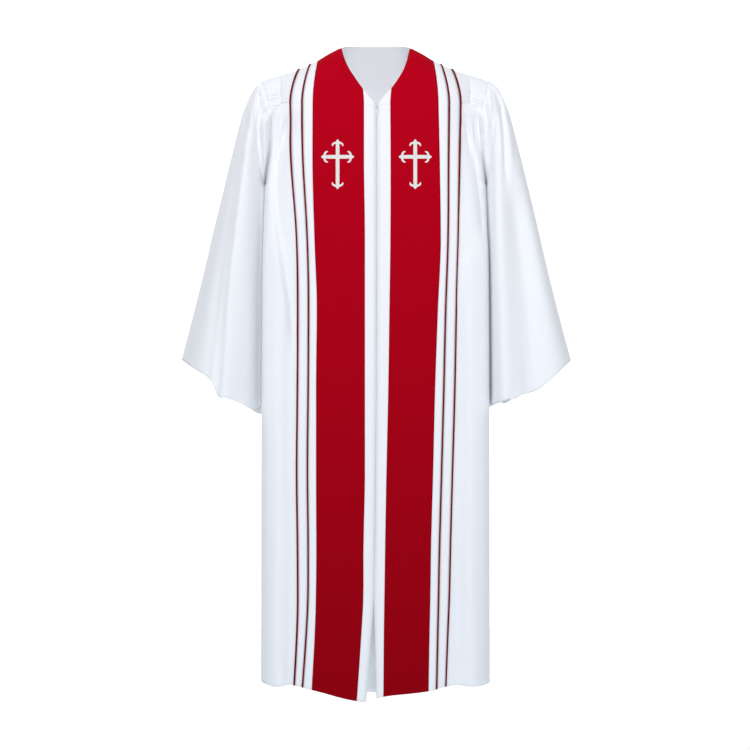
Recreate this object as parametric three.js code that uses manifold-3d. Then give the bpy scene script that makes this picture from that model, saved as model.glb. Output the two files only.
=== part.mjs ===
// A clergy robe: a full-length white vestment with wide bell sleeves, shirred into a plain yoke,
// a V neck, a centre-front zip, a red band with an embroidered cross down each front and two rows
// of dark red piping outside each band.  It keeps the hollow form that it has when worn.
//
// Frame: millimetres, +Z up.  The front faces -Y and the robe's right side, as its wearer has it,
// is at -X.  The origin lies between the two neck-shoulder points, where shoulders carry it.
// Every cloth piece is a wall with both faces, worked out from sections of the robe.

import * as THREE from 'three';
import { mergeVertices } from 'three/addons/utils/BufferGeometryUtils.js';
import Module from 'manifold-3d';

const wasm = await Module();
wasm.setup();

// ---- driving sizes -------------------------------------------------------------------------
const CLOTH = 1.5;          // wall of every white piece
const SEAM = 0.3;           // the gap between two pieces at a seam
const APPLIED = 1.0;        // wall of the bands and strips that lie on the fronts
const PIPING_PROUD = 2.4;   // how far the piping stands off the front below it
const BAND_INSET = 2.0;     // white edge left between a band and the neck
const SHOULDER_INSET = 1.5; // and between what is sewn on and the shoulder seam
const PIPE_HALF = { pipeIn: 2.4, pipeOut: 1.8 };    // half widths of the two pipings
const SIDE_Y = 2;           // depth of the side seam and of the lowest point of an armhole

const SHOULDER_Z = -57;     // top of an armhole
const UNDERARM_Z = -292;    // foot of an armhole
const ARMHOLE_FRONT = 58;   // how far an armhole reaches forward of the side seam
const ARMHOLE_BACK = 64;    // and back of it
const YOKE_Z = -129;        // seam of the front yoke
const BACK_YOKE_Z = -112;   // seam of the back yoke
const NECK_X = 74;          // neck-shoulder point
const ZIP_END_Z = -1165;    // the fronts part below this level
const HEM_Z = -1354;        // mean level of the hem
const HALF_WIDTH = 243;     // from the middle to the side seam at the hem
const SHOULDER_X = 200;     // from the middle to the outer end of the shoulder seam

// ---- sections of the body: half width, depth forward and back, and how square they are ---------
const BODY = [
  { z: -112, half: 221, front: 93, back: 118, square: 4.6 },
  { z: -129, half: 223, front: 96, back: 122, square: 4.4 },
  { z: -200, half: 229, front: 107, back: 128, square: 4.3 },
  { z: -292, half: 234, front: 117, back: 128, square: 4.3 },
  { z: -420, half: 238, front: 123, back: 127, square: 4.3 },
  { z: -600, half: 241, front: 127, back: 129, square: 4.3 },
  { z: -900, half: 242, front: 129, back: 131, square: 4.2 },
  { z: -1400, half: 243, front: 131, back: 133, square: 4.0 },
];

// ---- where the armhole seam runs across the body -------------------------------------------
const ARMHOLE = [
  { z: -57, front: 200, back: 200 },
  { z: -112, front: 199.2, back: 199 },
  { z: -124, front: 199, back: 202.7 },
  { z: -143.5, front: 210, back: 208.5 },
  { z: -165, front: 216.5, back: 214.5 },
  { z: -192, front: 220, back: 219 },
  { z: -222, front: 224.5, back: 224.5 },
  { z: -255, front: 230, back: 230 },
  { z: -292, front: 233.8, back: 233.8 },
];

// ---- the sewn lines down each front: distances from the middle of the robe ----------------------
const RIGHT_LANES = [
  { z: -129, edge: -2.5, bandIn: 24, bandOut: 131.5, pipeIn: 153.5, pipeOut: 178 },
  { z: -240, edge: -2.4, bandIn: 24, bandOut: 131.5, pipeIn: 151.5, pipeOut: 176 },
  { z: -415, edge: -2.2, bandIn: 22, bandOut: 127, pipeIn: 142, pipeOut: 164 },
  { z: -560, edge: -2.0, bandIn: 22, bandOut: 122, pipeIn: 139, pipeOut: 161 },
  { z: -730, edge: -1.7, bandIn: 22, bandOut: 123.5, pipeIn: 140, pipeOut: 162 },
  { z: -895, edge: -0.2, bandIn: 22, bandOut: 123.5, pipeIn: 141.5, pipeOut: 163.5 },
  { z: -1060, edge: 1.5, bandIn: 25, bandOut: 123, pipeIn: 140, pipeOut: 161.5 },
  { z: -1165, edge: 3.2, bandIn: 25.5, bandOut: 124, pipeIn: 140.5, pipeOut: 161 },
  { z: -1230, edge: 8, bandIn: 29, bandOut: 126, pipeIn: 143.5, pipeOut: 162.5 },
  { z: -1378, edge: 19, bandIn: 39, bandOut: 134, pipeIn: 154, pipeOut: 170 },
];
const LEFT_LANES = [
  { z: -129, edge: 2.5, bandIn: 31, bandOut: 132, pipeIn: 154, pipeOut: 178 },
  { z: -240, edge: 2.4, bandIn: 31.5, bandOut: 134, pipeIn: 152.5, pipeOut: 175 },
  { z: -415, edge: 2.2, bandIn: 31, bandOut: 136, pipeIn: 151, pipeOut: 172 },
  { z: -560, edge: 2.0, bandIn: 29, bandOut: 130, pipeIn: 146, pipeOut: 168 },
  { z: -730, edge: 1.7, bandIn: 26.5, bandOut: 124, pipeIn: 142, pipeOut: 164.5 },
  { z: -895, edge: 0.2, bandIn: 23, bandOut: 120, pipeIn: 137.5, pipeOut: 160 },
  { z: -1060, edge: -1.5, bandIn: 20, bandOut: 115.5, pipeIn: 133, pipeOut: 155.5 },
  { z: -1165, edge: -3.0, bandIn: 18.5, bandOut: 114, pipeIn: 131, pipeOut: 153 },
  { z: -1230, edge: -1.5, bandIn: 17.5, bandOut: 112.5, pipeIn: 129.5, pipeOut: 150.5 },
  { z: -1378, edge: 2, bandIn: 16.5, bandOut: 110, pipeIn: 126.5, pipeOut: 145 },
];

// ---- how far out each line of the front reaches the neck or the shoulder seam ---------------------
const LANE_TOPS = [
  { seam: 0, top: 0 },
  { seam: 26, top: 28 },
  { seam: 131.5, top: 122 },
  { seam: 154, top: 138 },
  { seam: 178, top: 161.6 },
  { seam: 198, top: 200 },
];

// ---- the neck and the shoulder seam: lean is how far the cloth there lies back from upright ----
const FRONT_TOP = [
  { x: 0, y: -96, z: -134, lean: 10 },
  { x: 11.5, y: -91, z: -116, lean: 14 },
  { x: 27.5, y: -81, z: -94.5, lean: 22 },
  { x: 44, y: -68, z: -70, lean: 32 },
  { x: 60, y: -50, z: -43, lean: 46 },
  { x: 70, y: -27, z: -18, lean: 64 },
  { x: 74, y: 0, z: 0, lean: 84 },
  { x: 99, y: 0, z: -13.5, lean: 88 },
  { x: 124, y: 0, z: -29, lean: 88 },
  { x: 141, y: 0, z: -37, lean: 88 },
  { x: 162, y: 0, z: -46.5, lean: 88 },
  { x: 200, y: 0, z: -57, lean: 88 },
];
const BACK_TOP = [
  { x: 0, y: 66, z: 15, lean: 34 },
  { x: 20, y: 65, z: 14.8, lean: 35 },
  { x: 42, y: 60, z: 14, lean: 38 },
  { x: 58, y: 49, z: 12.2, lean: 46 },
  { x: 68, y: 33, z: 8.5, lean: 58 },
  { x: 72.5, y: 16, z: 3.6, lean: 72 },
  { x: 74, y: 0, z: 0, lean: 84 },
  { x: 99, y: 0, z: -13.5, lean: 88 },
  { x: 124, y: 0, z: -29, lean: 88 },
  { x: 141, y: 0, z: -37, lean: 88 },
  { x: 162, y: 0, z: -46.5, lean: 88 },
  { x: 200, y: 0, z: -57, lean: 88 },
];

// ---- how far the front yoke seam lies above its level, by the distance from the middle ----------
const YOKE_SEAM = [
  { x: 0, up: -8 },
  { x: 22, up: 0 },
  { x: 150, up: 1 },
  { x: 198, up: 5 },
];

// ---- the hem, all round ---------------------------------------------------------------------
const FRONT_HEM = [
  { x: -243, z: -1357 },
  { x: -180, z: -1347 },
  { x: -131, z: -1354 },
  { x: -43, z: -1375 },
  { x: -19, z: -1378 },
  { x: 2, z: -1370 },
  { x: 112, z: -1355 },
  { x: 170, z: -1346 },
  { x: 210, z: -1354 },
  { x: 243, z: -1351 },
];
const BACK_HEM = [
  { x: -243, z: -1357 },
  { x: -190, z: -1372 },
  { x: -120, z: -1381 },
  { x: -60, z: -1394 },
  { x: 0, z: -1397 },
  { x: 70, z: -1391 },
  { x: 130, z: -1383 },
  { x: 195, z: -1366 },
  { x: 243, z: -1351 },
];

// ---- levels of the rows of points; a row near a seam or the hem takes a share of its shape -----
const LEVELS = [
  { z: -129, seam: 1, hem: 0 },
  { z: -146, seam: 0.5, hem: 0 },
  { z: -165, seam: 0, hem: 0 },
  { z: -192, seam: 0, hem: 0 },
  { z: -222, seam: 0, hem: 0 },
  { z: -255, seam: 0, hem: 0 },
  { z: -278, seam: 0, hem: 0 },
  { z: -292, seam: 0, hem: 0 },
  { z: -345, seam: 0, hem: 0 },
  { z: -410, seam: 0, hem: 0 },
  { z: -490, seam: 0, hem: 0 },
  { z: -590, seam: 0, hem: 0 },
  { z: -700, seam: 0, hem: 0 },
  { z: -820, seam: 0, hem: 0 },
  { z: -940, seam: 0, hem: 0 },
  { z: -1060, seam: 0, hem: 0 },
  { z: -1165, seam: 0, hem: 0 },
  { z: -1230, seam: 0, hem: 0.35 },
  { z: -1295, seam: 0, hem: 0.7 },
  { z: -1354, seam: 0, hem: 1 },
];
const YOKE_STEPS = 5;
const SIDE_COLUMNS = 7;     // columns of a front between its outer piping and its side seam
const BAND_COLUMNS = 4;
const BACK_COLUMNS = 28;

// ---- folds of the body: a ridge (+) or trough (-) that runs down the cloth.  x and xEnd are
// its ends, wide its half width, high its height, from and to the levels where it fades.  One whose
// to lies below LOWEST runs out at the hem and doesn't fade ---------------------------------------
const LOWEST = -1400;
const FOLD_GROWS = 60;      // length over which a fold rises from nothing
const FRONT_FOLDS = [
  { x: -187, xEnd: -183, wide: 6, high: 4, from: -131, to: -235 },
  { x: -200, xEnd: -198, wide: 6, high: 4.5, from: -131, to: -250 },
  { x: -211, xEnd: -210, wide: 5, high: 4, from: -150, to: -260 },
  { x: -193, xEnd: -190, wide: 5, high: -3, from: -134, to: -230 },
  { x: -200, xEnd: -205, wide: 17, high: 8, from: -330, to: -1500 },
  { x: -180, xEnd: -180, wide: 14, high: -6, from: -480, to: -1500 },
  { x: 186, xEnd: 184, wide: 6, high: 4, from: -131, to: -245 },
  { x: 199, xEnd: 200, wide: 6, high: 4.5, from: -131, to: -255 },
  { x: 211, xEnd: 212, wide: 5, high: 4, from: -150, to: -265 },
  { x: 192, xEnd: 191, wide: 5, high: -3, from: -134, to: -240 },
  { x: 196, xEnd: 198, wide: 17, high: 8, from: -300, to: -1500 },
  { x: 176, xEnd: 172, wide: 14, high: -6, from: -450, to: -1500 },
  { x: -60, xEnd: -72, wide: 30, high: 3, from: -800, to: -1500 },
  { x: 66, xEnd: 58, wide: 30, high: 3, from: -760, to: -1500 },
];
const BACK_FOLDS = [
  { x: -188, xEnd: -186, wide: 7, high: 4, from: -114, to: -240 },
  { x: -172, xEnd: -168, wide: 7, high: 4, from: -114, to: -260 },
  { x: -156, xEnd: -150, wide: 8, high: 3, from: -114, to: -250 },
  { x: 188, xEnd: 186, wide: 7, high: 4, from: -114, to: -245 },
  { x: 172, xEnd: 168, wide: 7, high: 4, from: -114, to: -250 },
  { x: 156, xEnd: 150, wide: 8, high: 3, from: -114, to: -260 },
  { x: -150, xEnd: -165, wide: 26, high: 9, from: -300, to: -1500 },
  { x: -95, xEnd: -100, wide: 22, high: -8, from: -420, to: -1500 },
  { x: -38, xEnd: -45, wide: 26, high: 8, from: -520, to: -1500 },
  { x: 18, xEnd: 15, wide: 20, high: -7, from: -480, to: -1500 },
  { x: 72, xEnd: 70, wide: 26, high: 8, from: -380, to: -1500 },
  { x: 122, xEnd: 128, wide: 20, high: -8, from: -440, to: -1500 },
  { x: 172, xEnd: 180, wide: 22, high: 9, from: -320, to: -1500 },
];

// ---- small helpers -------------------------------------------------------------------------
const clamp = (v, lo, hi) => Math.min(hi, Math.max(lo, v));
const lerp = (a, b, t) => a + (b - a) * t;
const smooth = (t) => t * t * (3 - 2 * t);
const rad = THREE.MathUtils.degToRad;

// The value of one column of a table at a given key, straight between its rows.
function lookUp(table, key, at, column) {
  const rising = table[table.length - 1][key] > table[0][key];
  const rows = rising ? table : [...table].reverse();
  if (at <= rows[0][key]) return rows[0][column];
  for (let i = 1; i < rows.length; i++) {
    if (at <= rows[i][key]) {
      const share = (at - rows[i - 1][key]) / (rows[i][key] - rows[i - 1][key]);
      return lerp(rows[i - 1][column], rows[i][column], share);
    }
  }
  return rows[rows.length - 1][column];
}

// A surface is a list of points and triangles that face out; its normals are area-weighted.
function surfaceNormals(points, triangles) {
  const normals = points.map(() => new THREE.Vector3());
  for (const [a, b, c] of triangles) {
    const ab = new THREE.Vector3().subVectors(points[b], points[a]);
    const ac = new THREE.Vector3().subVectors(points[c], points[a]);
    const n = ab.cross(ac);
    for (const i of [a, b, c]) normals[i].add(n);
  }
  return normals.map((n) => n.normalize());
}

// A wall between two offsets of a surface, closed along its open edges.
function wall(points, triangles, normals, low, high) {
  const count = points.length;
  const positions = [];
  for (const offset of [high, low]) {
    points.forEach((p, i) => {
      const q = p.clone().addScaledVector(normals[i], offset);
      positions.push(q.x, q.y, q.z);
    });
  }
  const faces = [];
  const edges = new Map();
  for (const [a, b, c] of triangles) {
    faces.push(a, b, c, count + a, count + c, count + b);
    for (const [i, j] of [[a, b], [b, c], [c, a]]) {
      if (edges.has(`${j},${i}`)) edges.delete(`${j},${i}`);
      else edges.set(`${i},${j}`, [i, j]);
    }
  }
  for (const [i, j] of edges.values()) {
    faces.push(j, i, count + i, j, count + i, count + j);
  }
  const geometry = new THREE.BufferGeometry();
  geometry.setAttribute('position', new THREE.Float32BufferAttribute(positions, 3));
  geometry.setIndex(faces);
  geometry.computeVertexNormals();
  return geometry;
}

// Triangles of a grid whose points are stored row by row; flip turns it to face the other way.
function gridTriangles(rows, columns, { flip = false, wrap = false } = {}) {
  const triangles = [];
  const span = wrap ? columns : columns - 1;
  for (let r = 0; r < rows - 1; r++) {
    for (let c = 0; c < span; c++) {
      const next = (c + 1) % columns;
      const [a, b] = [r * columns + c, r * columns + next];
      const [d, e] = [(r + 1) * columns + c, (r + 1) * columns + next];
      if (flip) triangles.push([a, b, e], [a, e, d]);
      else triangles.push([a, e, b], [a, d, e]);
    }
  }
  return triangles;
}

// ---- the body of the robe ------------------------------------------------------------------
// Height of all folds of a table at one place.
function foldHeight(folds, x, z) {
  let height = 0;
  for (const fold of folds) {
    if (z > fold.from || z < fold.to) continue;
    const run = (z - fold.from) / (fold.to - fold.from);
    const middle = lerp(fold.x, fold.xEnd, run);
    const grow = Math.min(1, run * (fold.from - fold.to) / FOLD_GROWS);
    const fade = fold.to < LOWEST ? 1 : Math.min(1, (1 - run) * 2);
    const off = (x - middle) / fold.wide;
    height += fold.high * smooth(clamp(grow, 0, 1)) * smooth(fade) * Math.exp(-off * off);
  }
  return height;
}

// How far the armhole seam lies from the side line at a level, as a share of its full reach.
function armholeShare(z) {
  const middle = (SHOULDER_Z + UNDERARM_Z) / 2;
  const half = (SHOULDER_Z - UNDERARM_Z) / 2;
  const u = clamp(Math.abs(z - middle) / half, 0, 1);
  return (1 - u ** 2.4) ** (1 / 2.4);
}

const GRIP = { high: 9, low: 40, from: -250, over: 42 };   // how sharply the cloth bends to the armhole
const LEAN_SHARE = 0.8;     // how far a fold at the side leans outwards
const FOLD_STOPS = 10;      // folds end this far short of the armhole seam

const armholeX = (z, face) => lookUp(ARMHOLE, 'z', z, face < 0 ? 'front' : 'back');

// A point of the body at a distance x from its middle: face is -1 in front and 1 behind.
function bodyPoint(x, z, face) {
  const half = lookUp(BODY, 'z', z, 'half');
  const depth = lookUp(BODY, 'z', z, face < 0 ? 'front' : 'back');
  const square = lookUp(BODY, 'z', z, 'square');
  const share = clamp(Math.abs(x) / half, 0, 1);
  let y = SIDE_Y + face * depth * Math.sqrt(Math.max(0, 1 - share ** square));
  if (z >= UNDERARM_Z) {
    const edge = armholeX(z, face);
    const edgeShare = clamp(edge / half, 0, 1);
    const sectionY = SIDE_Y + face * depth * Math.sqrt(1 - edgeShare ** square);
    const seamY = SIDE_Y + face * armholeShare(z) * (face < 0 ? ARMHOLE_FRONT : ARMHOLE_BACK);
    const grip = lerp(GRIP.high, GRIP.low, smooth(clamp((GRIP.from - z) / GRIP.over, 0, 1)));
    y += (seamY - sectionY) * Math.min(1, Math.abs(x) / edge) ** grip;
  }
  const folds = face < 0 ? FRONT_FOLDS : BACK_FOLDS;
  const lift = foldHeight(folds, x, z);
  const turn = Math.asin(share) * LEAN_SHARE;
  const toSeam = (armholeX(z, face) - Math.abs(x)) / FOLD_STOPS;
  const nearEdge = z > UNDERARM_Z ? smooth(clamp(toSeam, 0, 1)) : 1;
  return new THREE.Vector3(
    x + Math.sign(x) * lift * nearEdge * Math.sin(turn),
    y + face * lift * nearEdge * Math.cos(turn),
    z,
  );
}

// Columns between a line on the cloth and the side: evenly spaced beside the upper armhole, and by
// angle round the section below it.
const EVEN_ABOVE = -240;
function sideX(fromX, z, share, face) {
  const half = lookUp(BODY, 'z', z, 'half');
  const edge = z >= UNDERARM_Z ? armholeX(z, face) : half;
  if (z > EVEN_ABOVE) return lerp(fromX, edge, share);
  const start = Math.asin(clamp(fromX / half, 0, 1));
  return half * Math.sin(lerp(start, Math.asin(edge / half), share));
}

// A curve that leaves the yoke seam nearly upright and reaches the neck or shoulder at its own lean.
const YOKE_LEAVE = { lean: 0.12, pull: 0.95 };
function yokePoint(base, top, lean, share, face) {
  const reach = base.distanceTo(top);
  const leave = new THREE.Vector3(0, -YOKE_LEAVE.lean * face, 1);
  leave.multiplyScalar(reach * YOKE_LEAVE.pull);
  const arrive = new THREE.Vector3(0, -face * Math.sin(rad(lean)), Math.cos(rad(lean)));
  arrive.multiplyScalar(reach);
  const [s, s2, s3] = [share, share ** 2, share ** 3];
  return new THREE.Vector3()
    .addScaledVector(base, 2 * s3 - 3 * s2 + 1)
    .addScaledVector(leave, s3 - 2 * s2 + s)
    .addScaledVector(top, 3 * s2 - 2 * s3)
    .addScaledVector(arrive, s3 - s2);
}

// Rows of a yoke from its top down; the second row is where the band stops short of the edge.
function yokeShares() {
  const shares = [{ share: 1, inset: false }, { share: 1, inset: true }];
  for (let r = YOKE_STEPS - 1; r >= 1; r--) shares.push({ share: r / YOKE_STEPS, inset: false });
  return shares;
}

// One front with its yoke as a single grid, top row first.  side is -1 on the right, 1 on the left.
function frontGrid(side) {
  const lanes = side < 0 ? RIGHT_LANES : LEFT_LANES;
  const lane = (z, name) => lookUp(lanes, 'z', z, name);
  const columns = [
    (z) => lane(z, 'edge') + SEAM / 2,
    (z) => lane(z, 'edge') + 12,
  ];
  for (let i = 0; i <= BAND_COLUMNS; i++) {
    columns.push((z) => lerp(lane(z, 'bandIn'), lane(z, 'bandOut'), i / BAND_COLUMNS));
  }
  for (const name of ['pipeIn', 'pipeOut']) {
    columns.push((z) => lane(z, name) - PIPE_HALF[name], (z) => lane(z, name) + PIPE_HALF[name]);
  }
  for (let i = 1; i <= SIDE_COLUMNS; i++) {
    const from = (z) => lane(z, 'pipeOut') + PIPE_HALF.pipeOut;
    columns.push((z) => sideX(from(z), z, i / SIDE_COLUMNS, -1));
  }
  const last = columns.length - 1;
  const body = LEVELS.map((level) => columns.map((at, c) => {
    const rough = side * at(level.z);
    const drop = lookUp(FRONT_HEM, 'x', rough, 'z') - HEM_Z;
    const rise = lookUp(YOKE_SEAM, 'x', Math.abs(rough), 'up');
    const z = level.z + level.seam * rise + level.hem * drop;
    const x = at(z);
    const p = bodyPoint(side * x, z, -1);
    if (c === last && z <= UNDERARM_Z) p.y = SIDE_Y - SEAM / 2;
    return p;
  }));
  const yoke = yokeShares().map(({ share, inset }) => columns.map((at, c) => {
    const base = body[0][c];
    const topX = c === 0 ? 0 : lookUp(LANE_TOPS, 'seam', Math.abs(base.x), 'top');
    const top = new THREE.Vector3(
      c === 0 ? base.x : side * topX,
      lookUp(FRONT_TOP, 'x', topX, 'y'),
      lookUp(FRONT_TOP, 'x', topX, 'z'),
    );
    if (topX >= NECK_X) top.y = -SEAM / 2;
    const margin = topX < NECK_X ? BAND_INSET : SHOULDER_INSET;
    const up = inset ? 1 - margin / base.distanceTo(top) : share;
    const p = yokePoint(base, top, lookUp(FRONT_TOP, 'x', topX, 'lean'), up, -1);
    if (c === last) p.x = side * armholeX(p.z, -1);
    return p;
  }));
  return { rows: [...yoke, ...body], columns: columns.length, seamRow: yoke.length };
}

// The back with its yoke as a single grid, top row first, from the left side to the right.
function backGrid() {
  const shares = [];
  for (let i = 0; i <= BACK_COLUMNS; i++) shares.push(1 - (2 * i) / BACK_COLUMNS);
  const body = LEVELS.map((level) => shares.map((share, c) => {
    const atZ = level.z + level.seam * (BACK_YOKE_Z - YOKE_Z);
    const rough = share * HALF_WIDTH;
    const drop = lookUp(BACK_HEM, 'x', rough, 'z') - HEM_Z;
    const z = atZ + level.hem * drop;
    const x = Math.sign(share) * sideX(0, z, Math.abs(share), 1);
    const p = bodyPoint(x, z, 1);
    const outer = c === 0 || c === BACK_COLUMNS;
    if (outer && z <= UNDERARM_Z) p.y = SIDE_Y + SEAM / 2;
    return p;
  }));
  const seamEdge = Math.abs(body[0][0].x);
  const yoke = [];
  for (let r = YOKE_STEPS; r >= 1; r--) {
    yoke.push(shares.map((share, c) => {
      const base = body[0][c];
      const topX = SHOULDER_X * Math.abs(base.x) / seamEdge;
      const side = Math.sign(share);
      const top = new THREE.Vector3(
        side * topX,
        lookUp(BACK_TOP, 'x', topX, 'y'),
        lookUp(BACK_TOP, 'x', topX, 'z'),
      );
      if (topX >= NECK_X) top.y = SEAM / 2;
      const rise = r / YOKE_STEPS;
      const p = yokePoint(base, top, lookUp(BACK_TOP, 'x', topX, 'lean'), rise, 1);
      if (c === 0 || c === BACK_COLUMNS) p.x = side * armholeX(p.z, 1);
      return p;
    }));
  }
  return { rows: [...yoke, ...body], columns: BACK_COLUMNS + 1, seamRow: YOKE_STEPS };
}

// Normals of a whole grid.  At the shoulder and side seams both pieces use the same plane, and so do
// the two fronts where they meet in the middle.
const MEETING_X = 25;
function gridNormals(grid, flip) {
  const points = grid.rows.flat();
  const triangles = gridTriangles(grid.rows.length, grid.columns, { flip });
  const normals = surfaceNormals(points, triangles);
  points.forEach((p, i) => {
    const onSide = Math.abs(p.y - SIDE_Y) < SEAM && p.z <= UNDERARM_Z;
    const onShoulder = Math.abs(p.y) < SEAM && p.z > SHOULDER_Z - 1;
    if (onSide || onShoulder) normals[i].y = 0;
    if (Math.abs(p.x) < MEETING_X && i % grid.columns === 0) normals[i].x = 0;
    normals[i].normalize();
  });
  const rows = [];
  for (let r = 0; r < grid.rows.length; r++) {
    rows.push(normals.slice(r * grid.columns, (r + 1) * grid.columns));
  }
  return rows;
}

// A wall from some rows and columns of a grid.  Where the piece ends at the yoke seam, that row is
// drawn back along the cloth by half the seam's gap.
function panel(grid, normals, flip, { rows, columns, low, high, trim = [], sides = 0 }) {
  const points = [];
  const directions = [];
  for (let r = rows[0]; r <= rows[1]; r++) {
    for (let c = columns[0]; c <= columns[1]; c++) {
      const p = grid.rows[r][c].clone();
      for (const cut of trim) {
        if (cut.row === r) {
          const towards = grid.rows[r + cut.step][c];
          p.lerp(towards, cut.by / p.distanceTo(towards));
        }
      }
      const inward = c === columns[0] ? 1 : c === columns[1] ? -1 : 0;
      if (sides > 0 && inward !== 0) {
        const towards = grid.rows[r][c + inward];
        p.lerp(towards, sides / grid.rows[r][c].distanceTo(towards));
      }
      points.push(p);
      directions.push(normals[r][c]);
    }
  }
  const size = [rows[1] - rows[0] + 1, columns[1] - columns[0] + 1];
  const triangles = gridTriangles(size[0], size[1], { flip });
  return wall(points, triangles, directions, low, high);
}

// ---- materials -------------------------------------------------------------------------------
const MATERIALS = {
  white: new THREE.MeshStandardMaterial({ color: 0xf4f4f8, roughness: 0.85, metalness: 0 }),
  red: new THREE.MeshStandardMaterial({ color: 0xa30016, roughness: 0.8, metalness: 0 }),
  piping: new THREE.MeshStandardMaterial({ color: 0x5a0a19, roughness: 0.7, metalness: 0 }),
  embroidery: new THREE.MeshStandardMaterial({ color: 0xf2f2f4, roughness: 0.6, metalness: 0 }),
  zip: new THREE.MeshStandardMaterial({ color: 0xf0f0f2, roughness: 0.4, metalness: 0 }),
};

const robe = new THREE.Group();
function add(name, geometry, material) {
  const mesh = new THREE.Mesh(geometry, MATERIALS[material]);
  mesh.name = name;
  robe.add(mesh);
  return mesh;
}

// ---- the fronts, their yokes and what is sewn on them -----------------------------------------
const BAND = [2, 2 + BAND_COLUMNS];
const STRIP_IN = [BAND[1], BAND[1] + 1];
const PIPE_IN = [BAND[1] + 1, BAND[1] + 2];
const STRIP_OUT = [BAND[1] + 2, BAND[1] + 3];
const PIPE_OUT = [BAND[1] + 3, BAND[1] + 4];

function buildFront(side, name) {
  const grid = frontGrid(side);
  const flip = side < 0;
  const normals = gridNormals(grid, flip);
  const lastRow = grid.rows.length - 1;
  const lastColumn = grid.columns - 1;
  const cloth = { low: -CLOTH, high: 0 };
  add(`front_${name}`, panel(grid, normals, flip, {
    rows: [grid.seamRow, lastRow],
    columns: [0, lastColumn],
    trim: [{ row: grid.seamRow, step: 1, by: SEAM / 2 }],
    ...cloth,
  }), 'white');
  add(`yoke_front_${name}`, panel(grid, normals, flip, {
    rows: [0, grid.seamRow],
    columns: [0, lastColumn],
    trim: [{ row: grid.seamRow, step: -1, by: SEAM / 2 }],
    ...cloth,
  }), 'white');
  const sewnOn = [
    { part: 'band', columns: BAND, high: SEAM + APPLIED, material: 'red' },
    { part: 'strip_inner', columns: STRIP_IN, high: SEAM + APPLIED, material: 'white' },
    { part: 'piping_inner', columns: PIPE_IN, high: PIPING_PROUD, material: 'piping' },
    { part: 'strip_outer', columns: STRIP_OUT, high: SEAM + APPLIED, material: 'white' },
    { part: 'piping_outer', columns: PIPE_OUT, high: PIPING_PROUD, material: 'piping' },
  ];
  for (const { part, columns, high, material } of sewnOn) {
    add(`${part}_${name}`, panel(grid, normals, flip, {
      rows: [1, lastRow], columns, low: SEAM, high, sides: SEAM / 2,
    }), material);
  }
  return { grid, normals, flip };
}

const fronts = {
  right: buildFront(-1, 'right'),
  left: buildFront(1, 'left'),
};

const back = backGrid();
const backNormals = gridNormals(back, false);
add('back', panel(back, backNormals, false, {
  rows: [back.seamRow, back.rows.length - 1],
  columns: [0, BACK_COLUMNS],
  low: -CLOTH,
  high: 0,
  trim: [{ row: back.seamRow, step: 1, by: SEAM / 2 }],
}), 'white');
add('yoke_back', panel(back, backNormals, false, {
  rows: [0, back.seamRow],
  columns: [0, BACK_COLUMNS],
  low: -CLOTH,
  high: 0,
  trim: [{ row: back.seamRow, step: -1, by: SEAM / 2 }],
}), 'white');

// ---- the sleeves -------------------------------------------------------------------------------
// Rings of a sleeve below its shirred head: topX and topZ are the outer point, lowX and lowZ the one
// beside the body, front and back the reach from the side seam, pleat the height of the gathers.
const SLEEVE_RINGS = [
  { topX: 256, topZ: -75, lowX: 236.4, lowZ: -297, front: 74, back: 76, pleat: 2.6, folds: 0 },
  { topX: 266, topZ: -92, lowX: 236.8, lowZ: -306, front: 82, back: 84, pleat: 1.6, folds: 0.35 },
  { topX: 275, topZ: -113, lowX: 237.3, lowZ: -322, front: 88, back: 91, pleat: 0, folds: 0.7 },
  { topX: 286, topZ: -145, lowX: 238, lowZ: -342, front: 95, back: 98, pleat: 0, folds: 1 },
  { topX: 300, topZ: -200, lowX: 239, lowZ: -375, front: 103, back: 107, pleat: 0, folds: 1 },
  { topX: 321, topZ: -285, lowX: 240.4, lowZ: -430, front: 113, back: 117, pleat: 0, folds: 1 },
  { topX: 344, topZ: -380, lowX: 241.6, lowZ: -500, front: 122, back: 127, pleat: 0, folds: 1 },
  { topX: 366, topZ: -475, lowX: 242.8, lowZ: -580, front: 131, back: 136, pleat: 0, folds: 1 },
  { topX: 391, topZ: -575, lowX: 243.6, lowZ: -672, front: 139, back: 145, pleat: 0, folds: 1 },
  { topX: 414, topZ: -664, lowX: 244.4, lowZ: -766, front: 146, back: 151, pleat: 0, folds: 1 },
];
// Folds round a sleeve.  at and end are degrees round the ring, from its outer point over the front
// (90) to the body (180) and back over the rear (270); drop lowers the hem at the fold.
const RIGHT_SLEEVE_FOLDS = [
  { at: 38, end: 52, wide: 13, high: -9, drop: 4 },
  { at: 68, end: 76, wide: 13, high: 6, drop: 2 },
  { at: 84, end: 92, wide: 8, high: -16, drop: 0 },
  { at: 112, end: 112, wide: 17, high: 7, drop: -21 },
  { at: 142, end: 146, wide: 12, high: -5, drop: -6 },
  { at: 214, end: 210, wide: 15, high: 7, drop: 0 },
  { at: 244, end: 242, wide: 12, high: -10, drop: 0 },
  { at: 276, end: 280, wide: 16, high: 8, drop: 0 },
  { at: 312, end: 306, wide: 13, high: -9, drop: 0 },
];
const LEFT_SLEEVE_FOLDS = [
  { at: 34, end: 44, wide: 14, high: -6, drop: -8 },
  { at: 62, end: 66, wide: 15, high: 6, drop: -22 },
  { at: 96, end: 88, wide: 12, high: -10, drop: -6 },
  { at: 124, end: 118, wide: 14, high: 7, drop: -10 },
  { at: 146, end: 148, wide: 11, high: -5, drop: -2 },
  { at: 210, end: 214, wide: 15, high: 7, drop: 0 },
  { at: 240, end: 246, wide: 12, high: -9, drop: 0 },
  { at: 272, end: 276, wide: 16, high: 8, drop: 0 },
  { at: 306, end: 312, wide: 13, high: -10, drop: 0 },
];
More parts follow.
